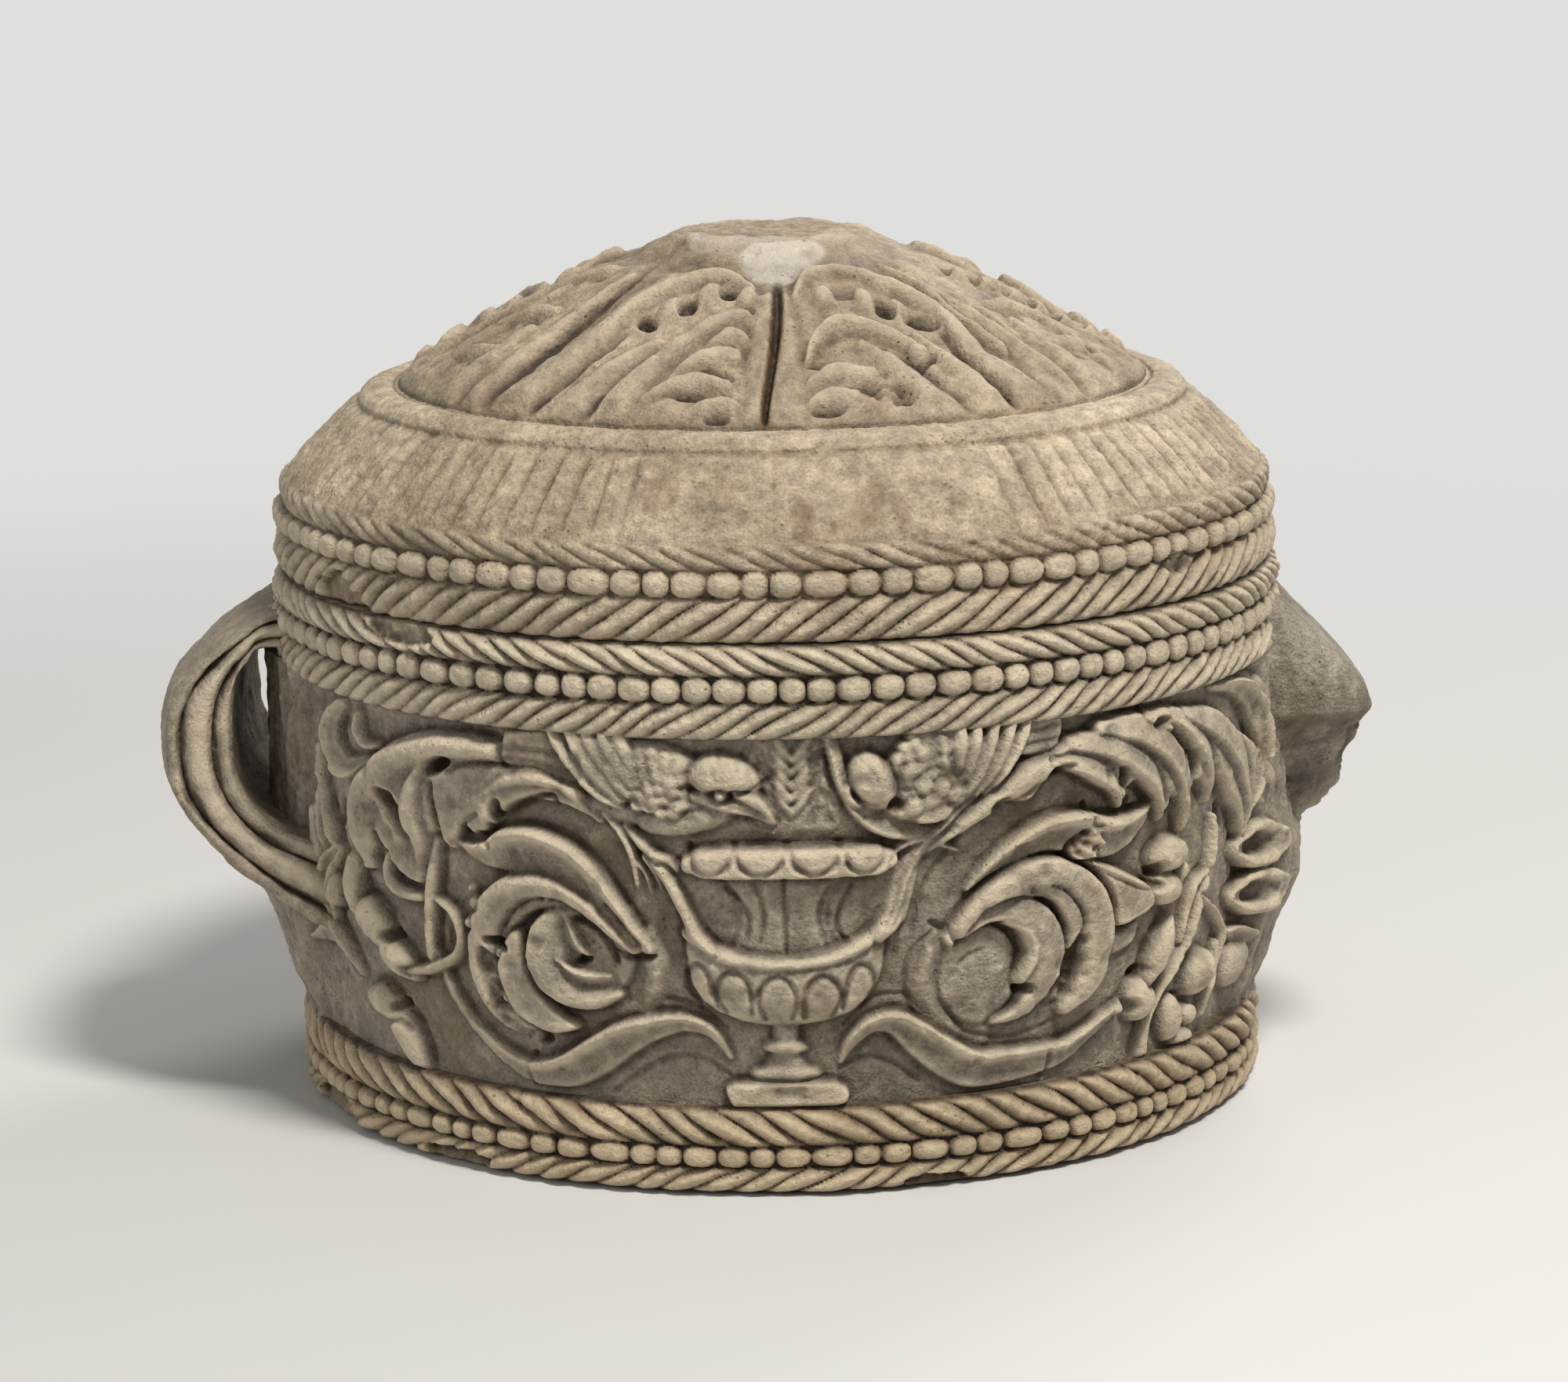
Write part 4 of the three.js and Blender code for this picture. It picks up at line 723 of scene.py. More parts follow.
    # root of the handle, with its cuffs
    for block, rise in (
            ([(-200, 112), (-190, 113), (-184, 106), (-181, 97), (-186, 92.6), (-200, 93)], 6.6),
            ([(-199, 90), (-184, 90), (-182.6, 81), (-187, 76), (-199, 76)], 6.8),
            ([(-198, 73), (-187, 72), (-187.6, 64), (-198, 64)], 5)):
        c.plate(block, rise, bevel=2.4, moat=1.0)
    c.band([(-196, 131, 2.0, 4), (-193.6, 121, 2.6, 5.6), (-190.4, 111, 3.4, 6.4), (-187.4, 103, 4.8, 7),
        (-186.6, 96, 4.0, 6)], GUTTER)
    c.band([(-182, 98, 2.4, 5), (-189.4, 90.6, 4.6, 7), (-193, 82, 4.6, 6.4), (-191, 73, 2.8, 5)], GUTTER)
    c.drill(-181, 112, 2.2, 5.4, 3.6, tilt=-8)
    c.drill(-180, 90, 2, 4.6, 3.6, tilt=8)
    c.band([(-214, 60, 1.0, 3), (-204, 63.4, 3.4, 5), (-192, 66.6, 5, 6.4), (-182, 62, 4.6, 6), (-174, 56, 2.0, 4)],
        LIP)
    c.drill(-184, 56, 6, 2.4, 3.6, tilt=-14)


# Right scroll: a broad ring round a hooked leaf, with its waving stem, a lump of old mortar and
# a bract from which the fruit grows.
def carve_right_scroll(c):
    c.band([(20, 44, 0.9, 3), (23.6, 51, 2.4, 5), (30, 56.4, 3.2, 6.6), (38, 56.6, 4.4, 7.4), (46, 50.6, 6.0, 7.6),
        (55, 43.6, 6.8, 7.6), (65, 38, 6.8, 7.4), (77, 37.4, 6.4, 7), (89, 37.6, 5.6, 6.6), (101, 38.6, 4.4, 6),
        (112, 43.6, 3.2, 5.4), (124, 49, 2.4, 5)], LIP)
    c.cut([(93.4, 42.6, 0.8), (95, 37, 1.0), (93.6, 31, 0.7)], 1.2)
    c.cuts(([(21, 57, 0.6), (31, 65.4, 0.9), (42, 65.6, 0.9), (47, 60, 0.6)],
        [(20, 41.6, 0.6), (28, 45.4, 0.9), (38, 42.4, 0.9), (47, 35.6, 0.6)]), 1.1)
    # the ground turns up in low rounds at its left, and is flat inside the ring
    c.band([(50, 80, 2.6, 1.6), (47.6, 70, 4.2, 1.8), (51.6, 58.6, 4.0, 1.6), (60, 51, 2.6, 1.2)], MOUND, moat=0)
    c.boss(68, 70, 15, 17, 1.4, full=0.2, moat=0.9)
    c.cuts(([(53.4, 88, 0.6), (43.6, 80, 0.9), (41.6, 68, 0.9), (46, 56, 0.8), (53, 49.6, 0.6)],
        [(56, 60, 0.6), (63, 51.4, 0.9), (75, 47.4, 0.9), (88, 47.6, 0.8), (99, 49.6, 0.5)],
        [(60, 74.6, 0.5), (64, 77.6, 0.6), (69, 78.6, 0.5)]), 1.0)
    # ring, with a second fold inside it
    c.band([(57, 84, 2.6, 5), (63.6, 91, 4.0, 7), (71.6, 97.4, 5.2, 8.2), (81.6, 101.4, 6.4, 8.8), (92, 101, 7.4, 9),
        (101.6, 95.6, 8.0, 9), (108, 88, 8.0, 8.8), (111, 78.6, 7.2, 8.6), (111, 69.6, 6.2, 8), (107.6, 61, 4.8, 7),
        (101, 54.4, 2.8, 5)], ((-1, 0), (-0.95, 0.74), (-0.7, 0.92), (-0.2, 1), (0.5, 0.96), (0.9, 0.84), (1, 0)),
        keep=0.1)
    c.band([(84.6, 98, 1.2, 7), (92, 96.4, 2.4, 7.6), (98, 90.6, 3.2, 7.6), (101, 83.6, 3.2, 7.2),
        (99.6, 76, 1.4, 6)], ((-1, 0), (-0.9, 0.8), (0, 0.9), (0.8, 1), (1, 0)), keep=0.4, moat=1.0)
    c.drill(104, 77.6, 2.4, 1.7, 6, tilt=60)
    c.rough(100.6, 63, 5.0, 11, 2.6, tilt=-38, seed=11, drop=0.6)
    c.cut([(102.6, 73, 1.0), (101.4, 66, 1.4), (95.6, 57.6, 1.2)], 1.6)
    # hooked leaf inside the ring
    c.band([(62, 84.6, 0.7, 4.4), (66, 88.6, 2.0, 6), (72, 91.4, 3.4, 7), (79.6, 91.4, 5.2, 8),
        (86.6, 86.4, 7.2, 8.6), (90.6, 78.6, 8, 8.6), (91, 70.6, 7.6, 8.2), (87.6, 62, 5.6, 7),
        (81.6, 55.6, 3.0, 5.4), (73, 52.8, 0.9, 3.4)], ((-1, 0), (-0.93, 0.8), (-0.6, 1), (0, 0.9), (0.5, 0.72),
        (0.88, 0.6), (1, 0)), keep=0.2)
    c.band([(75.6, 87.6, 1.0, 6.4), (81.6, 84.6, 1.6, 8), (85.2, 79, 1.9, 8.8), (83.6, 72, 2.4, 9),
        (81, 67.4, 1.8, 7.6)], keep=0.9, moat=0.7)
    c.drill(83.6, 64, 3.0, 2.0, 7, tilt=4)
    c.cut([(50.6, 89.6, 0.8), (55, 87, 1.4), (58.6, 83, 1.6)], 3.0)
    # upper leaf with its notches, mortar and bract
    c.band([(62.6, 100, 0.9, 4), (70, 106.6, 2.6, 6.4), (80, 112, 4.4, 8), (91, 115.4, 6.0, 9),
        (103, 114.4, 7.4, 9.2), (114, 111, 7.6, 8.8), (125, 111.6, 6.0, 7.6), (134, 115.6, 2.8, 5.6),
        (139.6, 119.6, 0.7, 3.6)], ((-1, 0), (-0.92, 0.44), (-0.3, 0.5), (0.2, 0.64), (0.62, 0.92), (0.84, 1),
        (0.95, 0.8), (1, 0)))
    c.cut([(107.6, 123, 1.0), (107.4, 117, 1.3), (112, 115.6, 1.0)], 2.6)
    c.cut([(108, 118.6, 1.4), (117, 118, 2.0), (126, 117, 1.6), (131, 118.6, 0.8)], 2.6)
    c.cut([(128.6, 121.6, 0.9), (126.6, 117.4, 1.0)], 2.4)
    c.boss(105, 109.6, 6.6, 4.2, 1.6, tilt=18, base=7.6, full=0.3, keep=1, moat=0.8)
    c.rough(105, 109.6, 9, 6, 6.4, tilt=18, seed=13, drop=0.6)
    spot, far = c.oval(105, 109.6, 7, 4.6, 18)
    c.rust[spot] = np.clip((1 - far) * 3, 0, 0.5)
    c.plate([(105, 106), (112, 103.6), (118.6, 101), (128.6, 96), (138, 90), (137.4, 83), (128, 79.6), (119.6, 79.4),
        (118.6, 87), (114.6, 95)], 5.6, bevel=1.6, swell=1.0)
    c.band([(105.6, 104.6, 0.8, 7), (116, 99.4, 1.8, 8.2), (127, 94, 2.0, 8.4), (137, 89.4, 1.2, 7)], RIDGE, keep=0.8,
        moat=0.2)
    c.plate([(118, 78), (125, 77), (134, 79.6), (133, 73), (126, 69), (118.6, 70)], 2.4, bevel=2.2)


# Right end of the front: a great acanthus leaf that sweeps from the scroll up to the stub, with
# cut lobes and drilled channels, and fruit, buds and berries on stems below it.
def carve_right_sprig(c):
    c.plate([(74, 129), (82, 137), (92, 143.4), (104, 147), (118, 150), (137, 150), (160, 146), (184, 138),
        (206, 128), (222, 118), (226, 108), (213, 108), (207, 100), (200, 94), (193, 104), (184, 112), (176, 121),
        (170.6, 115), (163, 122), (158, 118), (154.6, 106), (149.6, 118), (142.6, 113), (136, 121), (127, 127.6),
        (121.4, 121), (115, 128), (105, 134), (96, 136.6), (84, 127.4)], 4.8, bevel=2.2, swell=1.6)
    # stalk from the ring to the leaf
    c.band([(44, 111, 0.9, 3), (54, 118.6, 2.4, 5), (64, 125.6, 3.8, 6.6), (75, 132, 4.8, 7.4), (86, 137, 5.2, 7.6),
        (98, 141.4, 4.4, 7.6)], keep=0.6)
    c.drill(73, 128, 4.0, 2.0, 4.6, tilt=24)
    # lobes, each with a rounded back and a thin edge, and channels drilled between them
    c.bands((
        [(92, 140, 2.0, 6.4), (102, 138.6, 4.0, 8), (111, 134, 4.6, 8.4), (118, 127.4, 2.4, 7.2),
         (121.6, 119.6, 0.5, 4.6)],
        [(100, 145, 2.4, 6.6), (114, 143, 5.0, 8.4), (127, 136.4, 6.0, 8.8), (136, 127, 3.8, 8),
         (140.6, 118.6, 2.2, 6.6), (143, 111.6, 0.5, 4.4)],
        [(112, 148.6, 2.4, 6.6), (128, 146, 5.4, 8.6), (142, 138.6, 6.4, 9), (151, 127.6, 5.6, 8.6),
         (155, 115.6, 2.8, 7.4), (154.6, 104, 0.5, 4.4)],
        [(134, 149, 2.4, 6.6), (149, 145, 4.8, 8.4), (161, 136.6, 5.6, 8.8), (168.6, 125.6, 3.2, 7.8),
         (170.6, 113, 0.6, 4.8)],
        [(154, 146.6, 2.4, 6.6), (172, 139.6, 5.6, 8.4), (187, 129, 6.6, 8.8), (197, 115.6, 6.0, 8.4),
         (202, 103, 3.0, 7.2), (200, 92, 0.6, 4.8)]), SHELL, keep=0.6, moat=0.6)
    c.drills(((95, 136.6, 5.4, 1.6, 14), (121.6, 130.6, 1.8, 4.4, 16), (139.6, 146, 4.4, 2.0, 4),
        (150, 139, 8.4, 2.0, -44), (158, 128.6, 1.6, 6, 10), (174, 121, 1.8, 4.6, 16), (147.6, 116.6, 1.6, 3.6, 20),
        (186, 105, 2.4, 5.4, 30)), 5)
    # hollow fold under the stub
    c.plate([(178, 150), (196, 146), (208, 140), (214, 132), (222, 124), (226, 134), (220, 146), (204, 153)], 4.0,
        bevel=4)
    c.band([(176, 151, 1.4, 4), (192, 149, 3.0, 7), (207, 142, 4.4, 8.4), (217, 131, 4.6, 8.6), (222, 119, 3.0, 7)],
        LIP, keep=0.6)
    c.band([(206, 100, 2.6, 6), (213, 110, 4, 7), (216, 120, 2, 6)], GUTTER, keep=0.4)
    # stems
    c.bands(([(178, 106, 1.4, 4.4), (175.6, 92, 1.8, 5), (169, 79.6, 2.0, 5.2), (161.6, 65.6, 2.0, 5.2),
        (152, 56, 1.9, 5), (143.6, 48, 1.8, 4.8), (139.6, 36.6, 2.6, 4.4), (139, 28, 4.2, 3.6)],
        [(174, 88, 1.2, 4), (166, 84.6, 1.4, 4.4), (161, 76, 1.3, 4.2), (158, 66, 0.9, 3.8)],
        [(124, 49, 1.7, 5), (128.6, 51.6, 2.0, 5.4), (132, 52.6, 1.6, 5)],
        [(170, 80, 1.2, 4), (181, 72, 1.6, 4.4), (190, 62, 1.6, 4.4), (184, 46, 1.4, 4)],
        [(186, 60, 1.2, 4), (182, 48, 2.4, 5), (176, 36, 1.4, 4)]))
    # fruit in pairs, a pointed bud, and berries
    for x, y, long, wide, rise, tilt in ((147.4, 99, 9.8, 6.8, 8.6, 0), (146, 87.6, 8.6, 6.2, 8.4, -12),
            (155.6, 92, 3.6, 4, 6, 0), (134.6, 51, 7.4, 8.0, 8.6, 0), (171, 52.6, 9.6, 7.8, 8.6, 30),
            (153, 40.6, 6.0, 9.0, 7.8, 6), (166.4, 38.6, 4.6, 4.4, 6, 0), (163, 30.6, 7, 4.6, 5.6, 0),
            (204, 48, 11, 8.6, 6.4, 20)):
        c.boss(x, y, long, wide, rise, tilt=tilt, full=0.45)
    c.band([(138, 56, 2.0, 5.6), (141, 62, 4.6, 8), (145.6, 69.6, 4.2, 8), (150, 77.6, 1.0, 5)], keep=0.3)
    c.drills(((128.6, 49.6, 2.8, 3.0, 0), (134.6, 60.6, 3.6, 1.8, 10), (140.6, 95.6, 2.0, 2.4, 0),
        (139.6, 90, 3.0, 1.6, -10), (160, 46, 2.6, 1.8, 0)), 4.4)
    # cupped pockets behind the leaf
    for y, wide in ((89, 8.2), (72, 7.8)):
        c.band([(198, y + 1, 3, 5.6), (208, y, wide, 8), (219, y - 1, wide + 0.6, 7.6), (231, y - 2, 4.4, 5.6)],
            GUTTER)
        c.drill(214, y, 10, 4.0, 6.4, tilt=-6)
    c.band([(198, 60, 1.4, 4), (206, 58, 3.4, 5.4), (216, 55, 2.6, 4.6)], LIP)


# Back of the bowl: the scrolls again on either side of an upright acanthus stalk, as such urns
# repeat them where the krater isn't shown.
def carve_back(c):
    carve_left_sprig(c)
    carve_right_sprig(c)
    carve_left_scroll(c)
    carve_right_scroll(c)
    for side in (-1, 1):
        for n, y in enumerate((48, 68, 88, 108, 126)):
            long = (15, 19, 22, 22, 18)[n]
            c.band([(side * 2, y - 12, 2.4, 5), (side * long * 0.45, y - 2, 4.2, 7),
                (side * long * 0.85, y + 5, 4.0, 7), (side * long * 1.15, y + 3, 1.4, 4)],
                LIP if side > 0 else LIP_RIGHT, keep=0.4)
            c.drill(side * long * 0.72, y - 5.5, 2.6, 1.4, 3.4, tilt=side * 40)
    c.band([(0, 31, 5.4, 6), (0, 60, 4.2, 7.4), (0, 95, 3.6, 8), (0, 126, 4.6, 8), (0, 150, 1.4, 6)], RIDGE, keep=0.3)
    c.band([(0, 120, 2, 6), (-12, 136, 5, 7.6), (-30, 144, 5, 7), (-52, 140, 4, 6.4), (-66, 130, 2, 4)], LIP_RIGHT)
    c.band([(0, 120, 2, 6), (12, 136, 5, 7.6), (30, 144, 5, 7), (52, 140, 4, 6.4), (66, 130, 2, 4)], LIP)


def object_of(name, mesh, marks, material):
    """Puts a mesh in the scene with the marks of its carving, which its first points have."""
    mesh.set_sharp_from_angle(angle=SHARP_EDGE)
    for label, values in marks.items():
        full = np.zeros(len(mesh.vertices))
        full[:values.size] = np.clip(values, 0, 1).ravel()
        mesh.attributes.new(label, "FLOAT", "POINT").data.foreach_set("value", full)
    mesh.materials.append(material)
    piece = bpy.data.objects.new(name, mesh)
    bpy.context.scene.collection.objects.link(piece)
    return piece


def closed_piece(name, skin, marks, material, body, node, ring=False):
    """A closed mesh from rows of points round its section, with the marks of the carving."""
    rows, columns = skin.shape[:2]
    steps = columns if ring else columns - 1
    row, column = (part.ravel() for part in np.meshgrid(np.arange(rows), np.arange(steps), indexing="ij"))
    below, beyond = (row + 1) % rows, (column + 1) % columns
    quads = np.stack([row * columns + column, below * columns + column, below * columns + beyond,
                      row * columns + beyond], -1)
    points = skin.reshape(-1, 3)
    a, b, c, d = (points[quads[:, n]] for n in range(4))
    turned_in = (np.einsum("ij,ij->i", a, np.cross(b, c)) + np.einsum("ij,ij->i", a, np.cross(c, d))).sum() < 0
    loops, starts = [quads.ravel()], [np.arange(len(quads)) * 4]
    if not ring:
        first = np.arange(rows)[::-1] * columns
        loops += [first, first[::-1] + columns - 1]
        starts.append(np.array([len(quads) * 4, len(quads) * 4 + rows]))
    if turned_in:
        loops = [quads[:, ::-1].ravel()] + [cap[::-1] for cap in loops[1:]]
    loops, starts = np.concatenate(loops), np.concatenate(starts)
    mesh = bpy.data.meshes.new(name)
    mesh.vertices.add(len(points))
    mesh.vertices.foreach_set("co", (points * MM).ravel())
    mesh.loops.add(len(loops))
    mesh.loops.foreach_set("vertex_index", loops.astype(np.int32))
    mesh.polygons.add(len(starts))
    mesh.polygons.foreach_set("loop_start", starts.astype(np.int32))
    mesh.polygons.foreach_set("use_smooth", np.ones(len(starts), bool))
    mesh.update(calc_edges=True)
    piece = object_of(name, mesh, marks, material)
    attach(piece, body)
    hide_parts(node)


def hollows_and_crests(depth, cell, hollow=2.4, crest=1.3, ring=False):
    """How far each cell lies below and above its surroundings, from 0 to 1."""
    near, wide = softened(depth, 1.6 / cell, ring), softened(depth, 3.6 / cell, ring)
    # recess drives the painted shade and soil in hollows, crest the pale wear on high places
    return {"recess": np.clip((0.55 * wide + 0.45 * near - depth) / hollow, 0, 1),
            "crest": np.clip((depth - 0.5 * wide - 0.5 * near) / crest, 0, 1)}


def wall_ground(height):
    return np.interp(height, [31, 67.9, 123.3], [WALL_RADIUS - WALL_TAPER, 167.6, WALL_RADIUS])


PANEL_FOOT, PANEL_HEIGHT, PANEL_HALF_WIDTH = 31, 123, 65.6


def panel_radius(along, height):
    """The ground left proud and rough below and behind each handle."""
    folded = np.abs((along + HALF_ROUND) % (2 * HALF_ROUND) - HALF_ROUND)
    off = (folded - HALF_ROUND / 2) / PANEL_HALF_WIDTH
    swell = np.interp(off, [-1, -0.7, -0.35, 0, 0.35, 0.7, 1], [0, 0.6, 0.92, 1, 0.92, 0.6, 0])
    share = (height - PANEL_FOOT) / PANEL_HEIGHT
    proud = np.interp(share, [0, 0.08, 0.17, 0.32, 0.43, 0.56, 1], [0, 0.32, 0.5, 1, 1, 0.7, 0.69])
    return WALL_RADIUS - WALL_TAPER + swell * (16 * proud + 6), swell


def wall_points(along, height, radius):
    angle = along / WALL_RADIUS
    return np.stack([radius * np.sin(angle), -radius * np.cos(angle), height], -1)


def carved_wall(parts, carvers, first, last, cell, origin=0.0):
    """Carves one stretch of the wall and cuts it into closed pieces at the given places."""
    margin = WALL_MARGIN
    count = int(round((last - first) / cell))
    step = (last - first) / count
    along = first + step * np.arange(-margin, count + margin + 1)
    rows = int(round((WALL_TOP - WALL_FOOT) / cell))
    up = np.linspace(WALL_FOOT, WALL_TOP, rows + 1)
    grid_along, grid_up = np.meshgrid(along, up)
    carving = Carving(grid_along - origin, grid_up)
    for carve in carvers:
        carve(carving)
    depth = carving.depth.reshape(carving.shape)
    depth = softened(depth, 0.42 / cell)
    ground = wall_points(grid_along, grid_up, wall_ground(grid_up))
    panel, swell = panel_radius(grid_along, grid_up)
    # the mason's rasp, weathering and small losses
    tooled = (0.42 * cloudy(ground * [1, 1, 0.7], 5.5, 21) + 0.26 * cloudy(ground, 2.3, 22)
              + 0.15 * cloudy(ground, 1.2, 23) + 0.45 * cloudy(ground, 17, 24))
    losses = np.clip(cloudy(ground, 7, 25) - 0.42, 0, 1) * np.clip(depth - 2, 0, 4) * 0.9
    # relief dies away over the proud panels and under the ropes
    fade = (np.clip(1.15 - swell * 0.9, 0.3, 1)
            * np.interp(grid_up, [27.4, 28.4, 31, 150, 155, 156], [0, 0.2, 1, 1, 0.8, 0.3]))
    plain = wall_ground(grid_up) + tooled - 0.5
    streaked = (cloudy(ground * [1, 1, 0.22] + 40, 4.2, 26) * 0.9 + cloudy(ground, 9, 27) * 0.9
                + cloudy(ground, 2, 28) * 0.35)
    rough_panel = panel + streaked * np.clip(swell * 2.2, 0, 1)
    radius = np.maximum(plain, rough_panel) + (depth - losses) * fade
    marks = hollows_and_crests(radius, cell)
    # low ground between the reliefs is darkened a little more: soil and painted shade
    low = np.clip((1.6 - depth) / 2.6, 0, 1) * np.clip(1 - swell * 1.3, 0.2, 1)
    marks["recess"] = np.clip(marks["recess"] + 0.12 * low, 0, 1)
    marks["rust"] = carving.rust.reshape(carving.shape)
    marks["fresh"] = carving.fresh.reshape(carving.shape)
    outer = wall_points(grid_along, grid_up, radius)
    inner_up = np.array([[WALL_TOP], [WALL_FOOT]]) * np.ones_like(along)
    skin = np.vstack([outer, wall_points(np.stack([along, along]), inner_up, WALL_BACK)])
    for label, start, end in parts:
        picked = slice(margin + int(round((start - first) / step)), margin + int(round((end - first) / step)) + 1)
        closed_piece(label, skin[:, picked], {mark: values[:, picked] for mark, values in marks.items()},
                     wall_marble, "bowl", "urn_body")


KRATER_EDGE, FRONT_EDGE = 46, 245
BACK_EDGE = 2 * HALF_ROUND - FRONT_EDGE
carved_wall([("wall_left", -FRONT_EDGE, -KRATER_EDGE), ("wall_krater", -KRATER_EDGE, KRATER_EDGE),
             ("wall_right", KRATER_EDGE, FRONT_EDGE)],
            [carve_left_sprig, carve_left_scroll, carve_right_scroll, carve_right_sprig, carve_krater, carve_jet,
             carve_left_bird, carve_right_bird], -FRONT_EDGE, FRONT_EDGE, 1.04 * CELL)
carved_wall([("wall_back", FRONT_EDGE, BACK_EDGE)], [carve_back], FRONT_EDGE, BACK_EDGE, COARSE, origin=HALF_ROUND)


# Bands: a ring of two ropes with beads between them runs round the foot of the bowl and round
# its rim, and another round the foot of the lid. Each strand and bead is cut by hand.
rope_marble = marble("rope_marble", (182, 167, 143), (144, 130, 108), (54, 40, 27), (220, 206, 181),
                     1.2, 0.65, (128, 98, 66), 0.57)
ROPE_SWELL, ROPE_GROOVE, BEAD_SWELL = 4.3, 3.3, 4.3
base_marble = marble("base_marble", (174, 155, 126), (132, 114, 88), (50, 36, 24), (214, 196, 165),
                     1.3, 0.6, (112, 80, 50), 0.53, stain_amount=0.6)
BAND_CELL = 1.2 * CELL


def hand_cut(turn, seed):
    """Uneven spacing and depth of strands: a wandering phase and a share for each strand."""
    chance = np.random.default_rng(seed)
    wander = sum(chance.uniform(0.06, 0.14) * np.sin(2 * math.pi * (turn * n + chance.random()))
                 for n in (3, 7, 13, 29))
    table = chance.normal(0, 1, 512)
    return wander, lambda phase: table[np.floor(phase).astype(int) % 512]


def rope(turn, height, foot, top, count, lean, reach=2.0, seed=1, swell=ROPE_SWELL, groove=ROPE_GROOVE):
    """Depths of one rope: rounded strands that lie slantwise over a swelling core."""
    v = np.clip((height - foot) / (top - foot), 0, 1)
    wander, share = hand_cut(turn, seed)
    sway = 0.75 * (v - 0.5) + 0.25 * np.arcsin(np.clip(2 * v - 1, -1, 1)) / math.pi
    phase = count * turn + wander - lean * reach * sway + 4096
    side = np.abs(2 * (phase % 1) - 1)
    strand = np.clip(1 - side ** 1.7, 0, 1) ** 0.75
    cross = np.clip(1 - np.abs(2 * v - 1) ** 2.1, 0, 1) ** 0.5
    lively = 1 + 0.07 * share(phase)
    inside = (height >= foot) & (height <= top)
    return np.where(inside, cross * (swell * lively - groove * (1 - strand)), 0)


def beads(turn, height, foot, top, count, seed=2, swell=BEAD_SWELL):
    """Depths of a row of beads, each a short barrel."""
    v = np.clip((height - foot) / (top - foot), 0, 1)
    wander, share = hand_cut(turn, seed)
    phase = count * turn + wander + 4096
    side = 2 * (phase % 1) - 1
    round_it = np.clip(1 - np.abs(side) ** 2.5 - np.abs(2 * v - 1) ** 2.5, 0, 1) ** 0.5
    inside = (height >= foot) & (height <= top)
    return np.where(inside, 0.2 + swell * round_it * (1 + 0.06 * share(phase)), 0)


def weathered(depth, points, wear=0.35, seed=31):
    """Takes off crests in patches, with pits and grain, as rain and handling did."""
    patches = np.clip(cloudy(points, 22, seed) * 0.8 + cloudy(points, 9, seed + 1) * 0.5, -1, 1)
    flat = np.where(depth > 1.6, 1.6 + (depth - 1.6) * (1 - wear * np.clip(0.5 + patches, 0, 1)), depth)
    pits = np.clip(cloudy(points, 3.2, seed + 2) - 0.5, 0, 1) * 1.3
    return flat - pits + 0.24 * cloudy(points, 2.6, seed + 3) + 0.14 * cloudy(points, 1.3, seed + 4)


def chipped(depth, along, height, chips, points):
    """Breaks pieces out of a band: place along and up, length, height and depth left."""
    for x, z, long, high, left in chips:
        far = ((along - x) / long) ** 2 + ((height - z) / high) ** 2 + 0.35 * cloudy(points, 3.4, 77)
        broken = left + 0.5 * cloudy(points, 2.6, 78)
        amount = np.clip((1 - far) * 4, 0, 1)
        depth = depth * (1 - amount) + np.minimum(depth, broken) * amount
    return depth


def around(angle, radius, height):
    return np.stack([radius * np.sin(angle), -radius * np.cos(angle), height + 0 * angle], -1)


def rope_ring(name, heights, cut, base_radius, inner, material, chips=()):
    front, back = (int(math.pi * base_radius / cell) for cell in (CELL, 1.9 * CELL))
    angle = np.concatenate([np.linspace(-math.pi / 2, math.pi / 2, front, endpoint=False),
                            np.linspace(math.pi / 2, 3 * math.pi / 2, back, endpoint=False)])
    grid_angle, grid_height = np.meshgrid(angle, heights)
    flat = around(grid_angle, base_radius, grid_height)
    depth = cut(grid_angle / (2 * math.pi), grid_height)
    depth = weathered(depth, flat)
    depth = chipped(depth, grid_angle * base_radius, grid_height, chips, flat)
    marks = hollows_and_crests(depth, CELL, 2.0, 1.1, ring=True)
    # grooves between strands and beads are darkened further: soil and painted shade
    marks["recess"] = np.clip(marks["recess"] + np.clip((1.1 - depth) / 1.8, 0, 0.32), 0, 1)
    rows = [around(grid_angle, base_radius + depth, grid_height)]
    rows += [around(angle, radius, height)[None] for radius, height in inner]
    closed_piece(name, np.vstack(rows), marks, material, "bowl", "urn_body", ring=True)


# heights of the ropes and beads, and how many of each go round
BASE_BEADS_FOOT, BASE_BEADS_TOP, BASE_ROPE_TOP = 9.2, 16.2, 28.9
RIM_ROPE_FOOT, RIM_BEADS_FOOT, RIM_BEADS_TOP, RIM_ROPE_TOP = 154, 165.9, 174.5, 184.2
BASE_COUNTS, RIM_COUNTS = (92, 98, 84), (108, 104, 108)


def base_cut(turn, height):
    lower, row, upper = BASE_COUNTS
    under = np.interp(height, [0, 0.8, 2.5, 5], [-3.6, -2.2, -0.8, 0])
    return (rope(turn, height, -1.0, BASE_BEADS_FOOT, lower, 1, 1.7, seed=3) * np.interp(height, [0, 1], [0.35, 1])
            + under + beads(turn, height, BASE_BEADS_FOOT, BASE_BEADS_TOP, row, seed=4)
            + rope(turn, height, BASE_BEADS_TOP, BASE_ROPE_TOP, upper, -1, 1.7, seed=5, swell=4.5, groove=3.9))


